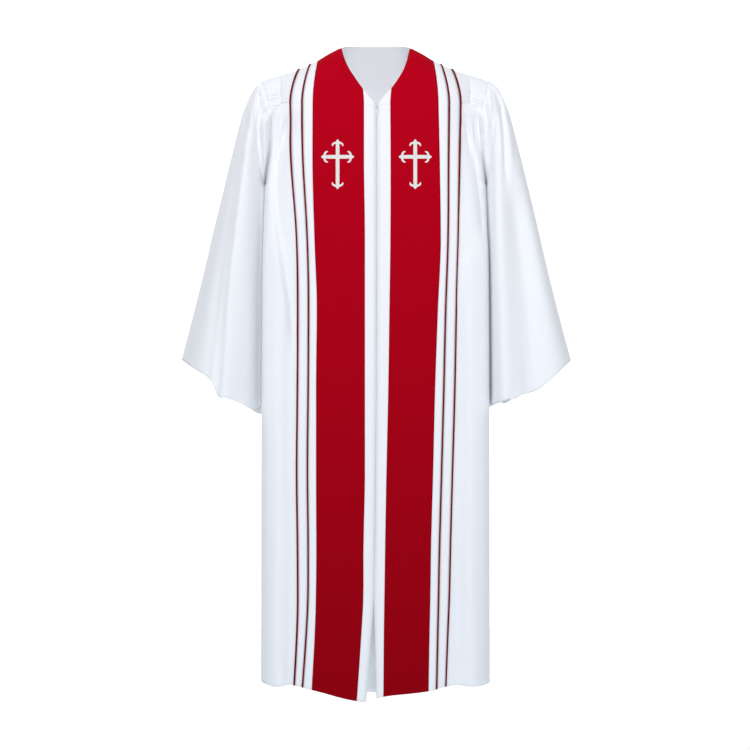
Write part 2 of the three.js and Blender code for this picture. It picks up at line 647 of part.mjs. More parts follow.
const HEAD_COLUMNS = 72;    // two to a pleat
const SLEEVE_COLUMNS = 36;
const PLEAT_HIGH = 2.0;
const SHIRRED = [           // width of the shirred strip round the armhole
  { z: -57, wide: 40 },
  { z: -100, wide: 31 },
  { z: -128, wide: 23 },
  { z: -150, wide: 9 },
  { z: -200, wide: 5 },
  { z: -292, wide: 2 },
];

const SLEEVE_OFF = 0.45;    // from the armhole seam of the body to the sleeve's first ring
const SLEEVE_SQUARE = { outside: 2.15, inside: 3.0 };   // how square a sleeve's section is
const GATHERS_END = { from: 140, over: 40 };    // degrees from the top where the gathers die out
const FOLDS_FROM_BODY = 14; // a sleeve's folds fade over this length beside the body
const STRIP = { spread: 1.06, arch: 1.2, archColumns: 14, fall: 0.17, fallFront: 0.1, level: -150 };
const FOLD_DEEPENS = [0.7, 1.25];   // share of a fold's height at the head and at the mouth

// Gathers stand up over the head of the sleeve and die out towards the underarm.
function pleatHeight(angle, column, height) {
  const fromTop = Math.abs(angle > 180 ? angle - 360 : angle);
  const share = smooth(clamp((GATHERS_END.from - fromTop) / GATHERS_END.over, 0, 1));
  return column % 2 === 0 ? height * share : 0;
}

// The first ring of a sleeve, all round the armhole from its top over the front.
function armholeRing(count) {
  const ring = [];
  const middle = (SHOULDER_Z + UNDERARM_Z) / 2;
  const half = (SHOULDER_Z - UNDERARM_Z) / 2;
  for (let c = 0; c < count; c++) {
    const angle = (360 * c) / count;
    const along = Math.sign(Math.cos(rad(angle))) * Math.abs(Math.cos(rad(angle))) ** (2 / 2.2);
    const z = middle + half * along;
    const face = angle < 180 ? -1 : 1;
    const reach = armholeShare(z) * (face < 0 ? ARMHOLE_FRONT : ARMHOLE_BACK);
    const seamY = lerp(SIDE_Y, 0, smooth(clamp((z - middle) / 100, 0, 1)));
    ring.push({ angle, x: armholeX(z, face) + SLEEVE_OFF, y: seamY + face * reach, z });
  }
  return ring;
}

function buildSleeve(side, name, folds) {
  const points = [];
  const triangles = [];
  const addRing = (ring) => {
    const start = points.length;
    for (const p of ring) points.push(new THREE.Vector3(side * p.x, p.y, p.z));
    return { start, count: ring.length };
  };
  const outward = (angle) => new THREE.Vector3(
    0.35 * Math.cos(rad(angle)), -Math.sin(rad(angle)), 0.95 * Math.cos(rad(angle)));
  const raise = (p, angle, by) => p.clone().addScaledVector(outward(angle), by);

  const seam = armholeRing(HEAD_COLUMNS).map(({ angle, x, y, z }, c) => {
    const p = new THREE.Vector3(x, y, z);
    const q = raise(p, angle, pleatHeight(angle, c, PLEAT_HIGH));
    return new THREE.Vector3(x, q.y, q.z);
  });
  const strip = armholeRing(HEAD_COLUMNS).map(({ angle, x, y, z }, c) => {
    const wide = lookUp(SHIRRED, 'z', z, 'wide');
    const fall = z > STRIP.level ? STRIP.fall + STRIP.fallFront * Math.abs(Math.sin(rad(angle))) : 0;
    const p = new THREE.Vector3(x + wide, y * STRIP.spread, z - wide * fall);
    return raise(p, angle, pleatHeight(angle, c, PLEAT_HIGH * 1.2));
  });
  const isTop = (c) => Math.min(c, HEAD_COLUMNS - c) < STRIP.archColumns;
  const middle = seam.map((p, c) => p.clone().lerp(strip[c], 0.5)
    .add(new THREE.Vector3(0, 0, isTop(c) ? STRIP.arch : 0)));

  const [firstZ, lastZ] = [SLEEVE_RINGS[0].topZ, SLEEVE_RINGS.at(-1).topZ];
  const section = (row, count) => {
    const ring = [];
    for (let c = 0; c < count; c++) {
      const angle = (360 * c) / count;
      const [cos, sin] = [Math.cos(rad(angle)), Math.sin(rad(angle))];
      const square = cos < 0 ? SLEEVE_SQUARE.inside : SLEEVE_SQUARE.outside;
      const along = Math.sign(cos) * Math.abs(cos) ** (2 / square);
      const across = Math.sign(sin) * Math.abs(sin) ** (2 / square);
      const reach = sin > 0 ? row.front : row.back;
      const p = new THREE.Vector3(
        lerp(row.topX, row.lowX, (1 - along) / 2),
        SIDE_Y - across * reach,
        lerp(row.topZ, row.lowZ, (1 - along) / 2),
      );
      let lift = 0;
      let drop = 0;
      const run = (row.topZ - firstZ) / (lastZ - firstZ);
      for (const fold of folds) {
        const off = (angle - lerp(fold.at, fold.end, run)) / fold.wide;
        const bump = Math.exp(-off * off);
        lift += fold.high * bump * lerp(...FOLD_DEEPENS, run) * row.folds;
        drop += fold.drop * bump * run ** 4;
      }
      const away = smooth(clamp((p.x - row.lowX) / FOLDS_FROM_BODY, 0, 1));
      const q = raise(p, angle, lift * away + pleatHeight(angle, c, row.pleat));
      q.z += drop;
      ring.push(q);
    }
    return ring;
  };

  const rings = [addRing(seam), addRing(middle), addRing(strip)];
  SLEEVE_RINGS.forEach((row) => {
    rings.push(addRing(section(row, row.pleat > 0 ? HEAD_COLUMNS : SLEEVE_COLUMNS)));
  });
  for (let r = 0; r < rings.length - 1; r++) {
    const [upper, lower] = [rings[r], rings[r + 1]];
    for (let c = 0; c < lower.count; c++) {
      const next = (c + 1) % lower.count;
      if (upper.count === lower.count) {
        const [a, b] = [upper.start + c, upper.start + next];
        const [d, e] = [lower.start + c, lower.start + next];
        triangles.push([a, e, b], [a, d, e]);
      } else {
        const [a, m] = [upper.start + 2 * c, upper.start + 2 * c + 1];
        const b = upper.start + ((2 * c + 2) % upper.count);
        const [d, e] = [lower.start + c, lower.start + next];
        triangles.push([a, d, m], [m, d, e], [m, e, b]);
      }
    }
  }
  const faces = side > 0 ? triangles.map(([a, b, c]) => [a, c, b]) : triangles;
  const normals = surfaceNormals(points, faces);
  for (let i = 0; i < HEAD_COLUMNS; i++) {
    normals[i].x = 0;
    normals[i].normalize();
  }
  add(`sleeve_${name}`, wall(points, faces, normals, -CLOTH, 0), 'white');
}

buildSleeve(-1, 'right', RIGHT_SLEEVE_FOLDS);
buildSleeve(1, 'left', LEFT_SLEEVE_FOLDS);

// ---- the embroidered crosses ---------------------------------------------------------------------
// Each arm widens from a plain bar to a pair of curled barbs and runs out to a point: along is the
// share of the arm's length and half its half width.
const CROSS_ARM = [
  { along: 0.25, half: 5.6 },
  { along: 0.45, half: 5.2 },
  { along: 0.58, half: 5.2 },
  { along: 0.64, half: 8.4 },
  { along: 0.7, half: 11.8 },
  { along: 0.76, half: 10.2 },
  { along: 0.82, half: 6.6 },
  { along: 0.9, half: 4.4 },
  { along: 1, half: 0.7 },
];
const CROSS_HALF = 5.8;     // half width of the crossing
const CROSS_SIDE_ARM = 36;
const CROSS_TOP_ARM = 38;
const CROSS_FOOT = 69;
const CROSS_X = { right: -79, left: 83 };
const CROSS_Z = -243;       // level of the crossing
const CROSS_LIFT = 1.9;     // off the front, over the band
const CROSS_HIGH = 3.0;

function buildCross(name, middleX) {
  const onBand = (u, v) => {
    const [x, z] = [middleX + u, CROSS_Z + v];
    const at = (dx, dz) => bodyPoint(x + dx, z + dz, -1);
    const across = at(3, 0).sub(at(-3, 0));
    const up = at(0, 3).sub(at(0, -3));
    return { point: at(0, 0), normal: across.cross(up).normalize() };
  };
  const points = [];
  const normals = [];
  const triangles = [];
  const put = (u, v) => {
    const { point, normal } = onBand(u, v);
    points.push(point);
    normals.push(normal);
    return points.length - 1;
  };
  const h = CROSS_HALF;
  const core = [[-h, h], [0, h], [h, h], [-h, 0], [0, 0], [h, 0], [-h, -h], [0, -h], [h, -h]]
    .map(([u, v]) => put(u, v));
  const quad = (a, b, c, d) => triangles.push([a, b, c], [a, c, d]);
  for (const [a, b, c, d] of [[3, 4, 1, 0], [4, 5, 2, 1], [6, 7, 4, 3], [7, 8, 5, 4]]) {
    quad(core[a], core[b], core[c], core[d]);
  }
  const arms = [
    { start: [2, 5, 8], u: [1, 0], length: CROSS_SIDE_ARM },
    { start: [6, 3, 0], u: [-1, 0], length: CROSS_SIDE_ARM },
    { start: [0, 1, 2], u: [0, 1], length: CROSS_TOP_ARM },
    { start: [8, 7, 6], u: [0, -1], length: CROSS_FOOT },
  ];
  for (const arm of arms) {
    const [du, dv] = arm.u;
    let row = arm.start.map((i) => core[i]);
    const barb = CROSS_SIDE_ARM / arm.length;
    for (const { along, half } of CROSS_ARM) {
      const from = 1 - (1 - along) * barb;
      const reach = Math.max(from * arm.length, h + 1 + along);
      const next = [1, 0, -1].map((k) => put(
        du * reach + (-dv) * k * half,
        dv * reach + du * k * half,
      ));
      quad(row[1], next[1], next[0], row[0]);
      quad(row[2], next[2], next[1], row[1]);
      row = next;
    }
  }
  add(`cross_${name}`, wall(points, triangles, normals, CROSS_LIFT, CROSS_HIGH), 'embroidery');
}

buildCross('right', CROSS_X.right);
buildCross('left', CROSS_X.left);

// ---- the zip -------------------------------------------------------------------------------------
// One closed body from several that overlap.
function join(shapes) {
  const solids = shapes.map((shape) => {
    const geometry = shape.clone();
    geometry.deleteAttribute('normal');
    geometry.deleteAttribute('uv');
    const merged = mergeVertices(geometry, 1e-4);
    return new wasm.Manifold(new wasm.Mesh({
      numProp: 3,
      vertProperties: new Float32Array(merged.attributes.position.array),
      triVerts: new Uint32Array(merged.index.array),
    }));
  });
  const mesh = solids.reduce((whole, solid) => whole.add(solid)).getMesh();
  const geometry = new THREE.BufferGeometry();
  geometry.setAttribute('position', new THREE.BufferAttribute(mesh.vertProperties, 3));
  geometry.setIndex(new THREE.BufferAttribute(mesh.triVerts, 1));
  geometry.computeVertexNormals();
  return geometry;
}

const TAPE_THICK = 1.0;

// The tape lies behind the two front edges, from the foot of the neck to the end of the zip.
function buildZipTape() {
  const { right, left } = fronts;
  const first = right.grid.seamRow;
  const last = first + LEVELS.findIndex((level) => level.z === ZIP_END_Z);
  const points = [];
  const normals = [];
  for (let r = first; r <= last; r++) {
    const middle = right.grid.rows[r][0].clone().lerp(left.grid.rows[r][0], 0.5);
    const face = right.normals[r][0].clone().add(left.normals[r][0]).normalize();
    points.push(right.grid.rows[r][1].clone(), middle, left.grid.rows[r][1].clone());
    normals.push(right.normals[r][1], face, left.normals[r][1]);
  }
  const triangles = gridTriangles(last - first + 1, 3);
  const behind = -CLOTH - SEAM;
  add('zip_tape', wall(points, triangles, normals, behind - TAPE_THICK, behind), 'zip');
}

// Sizes of the slider and its pull tab, in the slider's own frame: its origin is on the face of the
// fronts at the foot of the neck, with -Y out of the cloth and -Z down the zip.
const SLIDER = { wide: 9, tall: 17, thick: 2.2, top: 6.5, behind: 3.2 };
const BRIDGE = { wide: 2.4, top: 5.4, thick: 1.3, reach: 4.2, foot: -3.2 };
const PULL = { barY: -1.9, barZ: 0.5, barRadius: 0.6, barLong: 6, arm: 1.2, plateFrom: 6.3,
  plateLong: 14, plateWide: 6, thick: 1.2 };

function box(x, y, z) {
  const [w, d, h] = [x[1] - x[0], y[1] - y[0], z[1] - z[0]];
  return new THREE.BoxGeometry(w, d, h)
    .translate((x[0] + x[1]) / 2, (y[0] + y[1]) / 2, (z[0] + z[1]) / 2);
}

function buildSlider() {
  const half = BRIDGE.wide / 2;
  const x = [-half, half];
  const plate = box(
    [-SLIDER.wide / 2, SLIDER.wide / 2],
    [SLIDER.behind, SLIDER.behind + SLIDER.thick],
    [SLIDER.top - SLIDER.tall, SLIDER.top],
  );
  const beam = box(x, [-BRIDGE.reach, SLIDER.behind + 0.5], [BRIDGE.top - BRIDGE.thick, BRIDGE.top]);
  const hook = box(x, [-BRIDGE.reach, -BRIDGE.reach + BRIDGE.thick], [BRIDGE.foot, BRIDGE.top]);
  return join([plate, beam, hook]);
}

// The pull tab hangs from a bar behind the slider's bridge and swings up about that bar.
function buildPull() {
  const { barLong, arm, plateFrom, plateLong, plateWide, thick, barRadius } = PULL;
  const bar = new THREE.CylinderGeometry(barRadius, barRadius, barLong, 12).rotateZ(Math.PI / 2);
  const y = [-thick / 2, thick / 2];
  const arms = [-1, 1].map((s) => {
    const inner = barLong / 2 - arm;
    const x = s < 0 ? [-barLong / 2, -inner] : [inner, barLong / 2];
    return box(x, y, [-plateFrom - 1, 0]);
  });
  const outline = new THREE.Shape();
  const w = plateWide / 2;
  outline.moveTo(-w, -plateFrom);
  outline.lineTo(-w, -plateFrom - plateLong + w);
  outline.absarc(0, -plateFrom - plateLong + w, w, Math.PI, 2 * Math.PI, false);
  outline.lineTo(w, -plateFrom);
  const plate = new THREE.ExtrudeGeometry(outline, { depth: thick, bevelEnabled: false,
    curveSegments: 8 }).rotateX(Math.PI / 2).translate(0, thick / 2, 0);
  return join([bar, ...arms, plate]);
}

buildZipTape();
const zipTop = bodyPoint(2.5, -134, -1);
const zipLow = bodyPoint(2.5, -158, -1);
const slider = new THREE.Group();
slider.position.copy(zipTop);
slider.rotation.x = -Math.atan2(zipTop.y - zipLow.y, zipTop.z - zipLow.z);
const sliderBody = add('zip_slider', buildSlider(), 'zip');
const pull = add('zip_pull', buildPull(), 'zip');
pull.position.set(0, PULL.barY, PULL.barZ);
slider.add(sliderBody, pull);
robe.add(slider);

export default robe;
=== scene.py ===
# %% [markdown]
# # A clergy robe
# The robe is a hollow thing made of cut cloth: two fronts, a back, three yoke pieces, two wide
# sleeves, and the bands, strips and piping sewn down the fronts. It keeps the form that it has when
# it is worn. Every piece here is a surface of two parameters: one runs across the cloth, the other
# down it. A cloth simulation could drape the robe too, but its seams would wander. Whole numpy
# arrays keep the pieces in step: a band is simply the front's own points moved out by its thickness.

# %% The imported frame
import math

import bpy
import numpy as np
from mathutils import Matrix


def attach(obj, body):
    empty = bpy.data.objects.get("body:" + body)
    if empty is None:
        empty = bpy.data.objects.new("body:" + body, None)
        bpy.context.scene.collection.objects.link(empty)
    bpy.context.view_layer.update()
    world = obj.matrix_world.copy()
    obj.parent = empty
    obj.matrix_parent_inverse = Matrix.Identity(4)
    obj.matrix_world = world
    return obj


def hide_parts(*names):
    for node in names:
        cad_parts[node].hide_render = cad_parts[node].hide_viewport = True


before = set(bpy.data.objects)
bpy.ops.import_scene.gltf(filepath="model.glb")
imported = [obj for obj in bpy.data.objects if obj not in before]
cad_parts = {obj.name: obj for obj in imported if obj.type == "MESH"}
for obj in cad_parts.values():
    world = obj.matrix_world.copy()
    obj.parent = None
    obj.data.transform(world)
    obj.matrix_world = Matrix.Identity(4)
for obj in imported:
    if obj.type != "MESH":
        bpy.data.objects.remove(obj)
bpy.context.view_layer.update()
MM = 0.001                  # the tables below are in millimetres, Blender works in metres
BODY_NAME = "root"          # all of the cloth is one rigid body; only the pull tab swings
SIDES = {-1: "right", 1: "left"}        # the robe's own sides, by the sign of x

# %% [markdown]
# ## Camera, floor and light
# A catalogue view of a robe is taken with a long lens at the height of its middle, so that neither
# neck nor hem is seen from above or below. White cloth on white needs light from all round and a
# little more from the front: the folds then show as pale grey and nothing turns muddy.

# %% Camera
def add_object(name, data):
    """A new object in the scene."""
    made = bpy.data.objects.new(name, data)
    bpy.context.scene.collection.objects.link(made)
    return made


VIEW_DISTANCE = 4.5         # from the shoulder line to the camera
VIEW_HEIGHT = -0.698        # level of the camera: the robe's mid height
VIEW_X = -0.001
FRAME_WIDTH = 1.605         # what the view takes in at the shoulder line

camera_data = bpy.data.cameras.new("camera")
camera_data.sensor_width = 36.0
camera_data.lens = camera_data.sensor_width * VIEW_DISTANCE / FRAME_WIDTH
camera_data.clip_end = 100
camera = add_object("camera", camera_data)
camera.location = (VIEW_X, -VIEW_DISTANCE, VIEW_HEIGHT)
camera.rotation_euler = (math.pi / 2, 0, 0)
bpy.context.scene.camera = camera
bpy.context.scene.view_settings.view_transform = "Standard"
print("lens", round(camera_data.lens, 1), "mm")


# %% Helpers for colours, nodes and plain materials
def linear(hex_colour):
    """sRGB hex to the linear colour that Blender's shaders use."""
    value = np.array([int(hex_colour[i:i + 2], 16) for i in (1, 3, 5)]) / 255
    return (*np.where(value <= 0.04045, value / 12.92, ((value + 0.055) / 1.055) ** 2.4), 1)


def node(tree, kind, settings=None, **links):
    """Adds a node, sets its properties and socket values, and links sockets to other outputs."""
    made = tree.nodes.new(kind)
    for name, value in (settings or {}).items():
        if name in made.inputs:
            made.inputs[name].default_value = value
        else:
            setattr(made, name, value)
    for name, output in links.items():
        tree.links.new(output, made.inputs[name.replace("_", " ")])
    return made


def plain_shader(name, hex_colour, roughness, **sockets):
    """A plain Principled material: colour, roughness and whatever sockets are named."""
    material = bpy.data.materials.new(name)
    material.use_nodes = True
    shader = material.node_tree.nodes["Principled BSDF"]
    shader.inputs["Base Color"].default_value = linear(hex_colour)
    shader.inputs["Roughness"].default_value = roughness
    for socket, value in sockets.items():
        shader.inputs[socket.replace("_", " ")].default_value = value
    return material


# %% World, backdrop and floor
world = bpy.context.scene.world = bpy.data.worlds.new("white studio")
world.use_nodes = True
background = world.node_tree.nodes["Background"]
background.inputs["Color"].default_value = linear("#f4f8ff")
background.inputs["Strength"].default_value = 0.36
CORNERS = ((-9, -8), (9, -8), (9, 8), (-9, 8))      # of both sheets of paper


def stage_plane(name, corners, glow):
    """A sheet of studio paper with a light of its own, so that it reads as plain white."""
    mesh = bpy.data.meshes.new(name)
    mesh.from_pydata(corners, [], [(0, 1, 2, 3)])
    mesh.materials.append(plain_shader(
        name + " paper", "#ffffff", 0.9, Base_Color=(0.8, 0.8, 0.8, 1),
        Emission_Color=(1, 1, 1, 1), Emission_Strength=glow))
    add_object(name, mesh)


stage_plane("studio_backdrop", [(x, 8, z) for x, z in CORNERS], 1.0)
stage_plane("studio_floor", [(x, y, -2.2) for x, y in CORNERS], 0.4)

# %% Lamps
# Name, place, target, width, height, power and whether the camera sees it. The last three stand for
# the light that thin cloth lets through: inside the neck, and in the gap beside each sleeve.
LAMPS = (
    ("front", (0.2, -4.4, 0.1), (0, 0, -0.7), 0.5, 0.5, 70, True),
    ("key", (-0.5, -1.0, 3.0), (0, 0, -0.2), 1.0, 1.0, 50, True),
    ("inside", (0, 0, -0.42), (0, 0.03, 0), 0.16, 0.16, 0.27, False),
    ("beside_right", (-0.2389, -0.03, -0.53), (-0.4389, -0.03, -0.5278), 0.07, 0.47, 0.021, False),
    ("beside_left", (0.2389, -0.03, -0.53), (0.4389, -0.03, -0.5278), 0.07, 0.47, 0.013, False),
)


def area_lamp(name, place, target, width, height, power, seen):
    """A soft box that faces its target."""
    data = bpy.data.lights.new(name, "AREA")
    data.shape = "RECTANGLE"
    data.size, data.size_y = width, height
    data.energy = power
    lamp = add_object(name, data)
    lamp.location = place
    lamp.visible_camera = seen
    way = np.array(target) - np.array(place)
    across = math.atan2(way[1], way[0]) - math.pi / 2
    down = math.atan2(math.hypot(way[0], way[1]), -way[2])
    lamp.rotation_euler = (down, 0, across)


for lamp in LAMPS:
    area_lamp(*lamp)
print("lamps", [lamp[0] for lamp in LAMPS])

# %% [markdown]
# ## The sizes of the cut
# Each table gives sections or sewn lines of the robe in millimetres: how wide and deep the body is
# at a level, where the lines down the fronts run, where the neck and hem lie. A smooth curve
# through the rows gives every level in between.

# %% Tables
CLOTH = 1.3                 # thickness of the suiting as it is drawn
SEAM = 0.3                  # gap left where two pieces are sewn together
NECK_EDGE = 2.2             # white edge of the yoke left above the band
BAND_PROUD = 1.3            # face of the bands and strips above the fronts
PIPE_PROUD = 2.2            # face of the pipings above the fronts
SIDE_Y = 2.0                # the side seams lie a little behind the middle
SHOULDER_Z, UNDERARM_Z = -57.0, -292.0
ARMHOLE_MIDDLE, ARMHOLE_HALF = (SHOULDER_Z + UNDERARM_Z) / 2, (SHOULDER_Z - UNDERARM_Z) / 2
ARMHOLE_REACH = {-1: 58.0, 1: 64.0}     # in front of the side seam and behind it
FRONT_SEAM_Z, BACK_SEAM_Z = -129.0, -112.0
NECK_X, SHOULDER_X = 74.0, 200.0
NECK_LEAN = {-1: 0.0, 1: 6.5}       # the left side of the V hangs a little wider
VENT_Z = -1165.0            # foot of the zip, where the front vent opens
HEM_Z = -1354.0
HEM_FOLD = 35.0             # depth of the turned-up hem

# The body at each level: half width, depth before and behind the side seams, squareness, and the
# power of its turn at the sides.
BODY = {
    "z": [-1400, -900, -600, -420, -292, -200, -129, -112],
    "half": [240.5, 239.5, 238, 236, 234, 229, 223, 221],
    "front": [131, 129, 127, 123, 117, 107, 96, 93],
    "back": [133, 131, 129, 127, 128, 128, 122, 118],
    "square": [10, 13, 16, 14, 7.5, 4.8, 4.6, 4.6],
    "edge": [0.18, 0.14, 0.12, 0.13, 0.33, 0.46, 0.5, 0.5],
}
ARMHOLE = {                 # its distance from the middle
    "z": [-292, -255, -222, -192, -165, -150, -140, -131, -124, -112, -57],
    "front": [233.8, 229, 224, 221.5, 219, 217, 213, 204, 199, 199.2, 200],
    "back": [233.8, 230, 224.5, 219, 214.5, 211, 207, 204, 202.7, 199, 200],
}
# Distance from the middle of each sewn line of the right front (-1) and the left front (1).
LANE_Z = [-1378, -1230, -1165, -1060, -895, -730, -560, -415, -240, -129]
LANES = {-1: {
    "z": LANE_Z,
    "edge": [19, 8, 3.2, 1.5, -0.2, -1.7, -2.0, -2.2, -2.4, -2.5],
    "bandIn": [39, 29, 25.5, 25, 22, 22, 22, 22, 24, 24],
    "bandOut": [134, 126, 124, 123, 123.5, 123.5, 122, 127, 131.5, 131.5],
    "pipeIn": [154, 143.5, 140.5, 140, 141.5, 140, 139, 142, 151.5, 153.5],
    "pipeOut": [170, 162.5, 161, 161.5, 163.5, 162, 161, 164, 176, 178],
}, 1: {
    "z": LANE_Z,
    "edge": [2, -1.5, -3.0, -1.5, 0.2, 1.7, 2.0, 2.2, 2.4, 2.5],
    "bandIn": [16.5, 17.5, 18.5, 20, 23, 26.5, 29, 31, 31.5, 31],
    "bandOut": [110, 112.5, 114, 115.5, 120, 124, 130, 136, 134, 132],
    "pipeIn": [126.5, 129.5, 131, 133, 137.5, 142, 146, 151, 152.5, 154],
    "pipeOut": [145, 150.5, 153, 155.5, 160, 164.5, 168, 172, 175, 178],
}}
LANE_TOPS = {               # where those lines arrive at the neck and shoulder
    -1: {"seam": [0, 26, 131.5, 154, 178, 198], "top": [0, 28, 122, 138, 161.6, 200]},
    1: {"seam": [0, 31, 131.5, 154, 178, 198], "top": [0, 27, 122, 138, 161.6, 200]},
}
# Neck and shoulder line before (-1) and behind (1), and the cloth's lean there in degrees.
YOKE_TOP = {-1: {
    "x": [0, 11.5, 27.5, 44, 60, 70, 74, 99, 124, 141, 162, 200],
    "y": [-96, -91, -81, -68, -50, -27, 0, 0, 0, 0, 0, 0],
    "z": [-134, -116, -94.5, -70, -43, -18, 0, -13.5, -29, -37, -46.5, -57],
    "lean": [10, 14, 22, 32, 46, 64, 84, 88, 88, 88, 88, 88],
}, 1: {
    "x": [0, 20, 42, 58, 68, 72.5, 74, 99, 124, 141, 162, 200],
    "y": [66, 65, 60, 49, 33, 16, 0, 0, 0, 0, 0, 0],
    "z": [15, 14.8, 14, 12.2, 8.5, 3.6, 0, -13.5, -29, -37, -46.5, -57],
    "lean": [34, 35, 38, 46, 58, 72, 84, 88, 88, 88, 88, 88],
}}
YOKE_SEAM = {"x": [0, 22, 150, 198], "rise": [-8, 0, 1, 5]}
# Level of the hem of the fronts (-1) and of the back (1).
HEM = {-1: {
    "x": [-243, -225, -205, -178, -131, -43, -19, 2, 112, 166, 208, 228, 243],
    "z": [-1340, -1343, -1346, -1343, -1353, -1375, -1378, -1370, -1355, -1343, -1346, -1344,
          -1340],
}, 1: {
    "x": [-243, -190, -120, -60, 0, 70, 130, 195, 243],
    "z": [-1344, -1366, -1381, -1394, -1397, -1391, -1383, -1362, -1344],
}}


# %% Curves through a table
def along(table, key, name, at):
    """Straight between a table's rows."""
    return np.interp(at, table[key], table[name])


def cubic(t, first, leave, last, arrive):
    """Hermite's cubic from first to last: leave and arrive are its slopes at the two ends."""
    return ((2 * t**3 - 3 * t**2 + 1) * first + (t**3 - 2 * t**2 + t) * leave
            + (3 * t**2 - 2 * t**3) * last + (t**3 - t**2) * arrive)


def curve(table, key, name, at):
    """A cubic through a table's rows whose slope at each row is the mean of its two neighbours'."""
    xs, ys = np.array(table[key], float), np.array(table[name], float)
    at = np.clip(at, xs[0], xs[-1])
    steps = np.diff(ys) / np.diff(xs)
    slopes = np.concatenate([[steps[0]], (steps[:-1] + steps[1:]) / 2, [steps[-1]]])
    slopes[1:-1][steps[:-1] * steps[1:] <= 0] = 0
    i = np.clip(np.searchsorted(xs, at, side="right") - 1, 0, len(xs) - 2)
    gap = xs[i + 1] - xs[i]
    return cubic((at - xs[i]) / gap, ys[i], gap * slopes[i], ys[i + 1], gap * slopes[i + 1])


def ease(t):
    """Runs from 0 to 1 with no kink at either end."""
    t = np.clip(t, 0, 1)
    return t * t * (3 - 2 * t)


def below(z, level, run):
    """0 down to a level, then up to 1 over the run below it."""
    return ease((level - z) / run)


def above(z, level, run):
    """0 up to a level, then up to 1 over the run above it."""
    return ease((z - level) / run)


def mix(a, b, t):
    """a where t is 0, b where t is 1."""
    return a + (b - a) * t


# %% [markdown]
# ## Folds
# Cloth that hangs from a seam falls in soft ridges with a trough between them. A fold here is a
# bump across the cloth that runs down it: it starts where the cloth is gathered, wanders a little
# and fades or runs out at the hem. The large ones are in the CAD walls too, the small ones aren't.
# Sculpting would give the same forms, but a table of folds can be read and changed row by row.

# %% Fold tables and their height
# Before (-1) and behind (1). In each row: where the fold starts and ends across the body, its half
# width, its height, negative for a trough, the level where it starts and, if it doesn't run out at
# the hem, the level where it ends.
FOLDS = {-1: [
    (-184, -181, 5, 2.5, -131, -215), (-193, -190, 4, -2.5, -131, -230),
    (-201, -204, 5, 3.5, -131, -240), (-187, -192, 4, -2, -134, -200),
    (-200, -205, 17, 6, -400), (-178, -176, 12, -5, -560),
    (184, 182, 4, 2.5, -131, -215), (190, 200, 3.5, -3, -131, -260),
    (197, 208, 4, 3.5, -131, -250), (181, 177, 4, -2, -131, -195),
    (196, 198, 17, 6, -420), (176, 172, 12, -4, -520),
    (-60, -72, 30, 3, -800), (66, 58, 30, 3, -760),
    (-110, -96, 26, 1.2, -300, -900), (104, 92, 28, 1.2, -260, -800),
], 1: [
    (-188, -186, 7, 4, -114, -240), (-172, -168, 7, 4, -114, -260),
    (-156, -150, 8, 3, -114, -250), (188, 186, 7, 4, -114, -245),
    (172, 168, 7, 4, -114, -250), (156, 150, 8, 3, -114, -260),
    (-150, -165, 26, 9, -300), (-95, -100, 22, -8, -420),
    (-38, -45, 26, 8, -520), (18, 15, 20, -7, -480),
    (72, 70, 26, 8, -380), (122, 128, 20, -8, -440),
    (172, 180, 22, 9, -320), (-200, -208, 12, -5, -360),
    (204, 210, 12, -5, -380), (-180, -177, 4, -2, -116, -220),
    (180, 177, 4, -2, -116, -225), (-140, -134, 6, 1.6, -114, -200),
    (141, 136, 6, 1.6, -114, -205), (-20, -30, 40, 2, -130, -420),
]}
# Long creases that swing across a front from the yoke's corner. In each row: the points (x, z) that
# it follows, x measured outwards; its widths inside the line and outside it; its height, negative
# for a trough; the level where it is full and the length of its rise; and, if it fades, the level
# where it starts to and the length of its fall.
CREASES = {-1: [
    ([(181, -150), (196, -206), (206, -248), (210, -311), (206, -374), (194, -457), (179, -541),
      (168, -640)], 22, 7, -11, -180, 50, -560, 120),
    ([(213, -135), (212, -200), (217, -290), (222, -380)], 7, 7, 4, -150, 20, -330, 90),
], 1: [
    ([(183, -143), (198, -196), (210, -259), (221, -332), (227, -415)], 14, 6, -8,
     -165, 40, -360, 90),
    ([(182, -200), (186, -300)], 10, 12, -2.5, -240, 50, -300, 80),
]}
BEYOND_HEM = -1500
NO_FADE = (-900, 50)        # below the mouth of a sleeve


def fold_height(face, x, z):
    """Sum of high * exp(-(distance / wide)^2) over the folds, eased in and out along each."""
    height = np.zeros(np.broadcast(x, z).shape)
    for i, (first, last, wide, high, start, *end) in enumerate(FOLDS[face]):
        run = (z - start) / ((end or [BEYOND_HEM])[0] - start)
        wander = 1.6 * np.sin(z / 83 + 1.7 * i) * below(z, start, 300)
        middle = mix(first, last, np.clip(run, 0, 1)) + wander
        size = high * below(z, start, 60) * (1 + 0.12 * np.sin(z / 140 + i))
        if end:
            size = size * ease((1 - run) * 2)
        shown = (run >= 0) & (run <= 1)
        height += np.where(shown, size * np.exp(-((x - middle) / wide) ** 2), 0)
    return height


def leaning_folds(x, z, table):
    """Sum of high * exp(-(d / w)^2): d from a line, w one width inside it and another outside."""
    total = np.zeros(np.broadcast(x, z).shape)
    for line, inner, outer, high, full, rise, *end in table:
        xs, zs = np.array(line, float).T
        middle = np.interp(z, zs[::-1], xs[::-1]) + 1.2 * np.sin(z / 61 + xs[0])
        d = x - middle
        fade, fall = end or NO_FADE
        size = below(z, full + rise, rise) * above(z, fade - fall, fall)
        total += high * size * np.exp(-(d / np.where(d < 0, inner, outer)) ** 2)
    return total


# %% [markdown]
# ## The body's section
# Seen from above, the robe is a rounded box: flat over the chest, turning quickly at the sides, as
# a superellipse is, whose one number says how square it is. Above the underarm the cloth bends to
# meet the armhole seam.

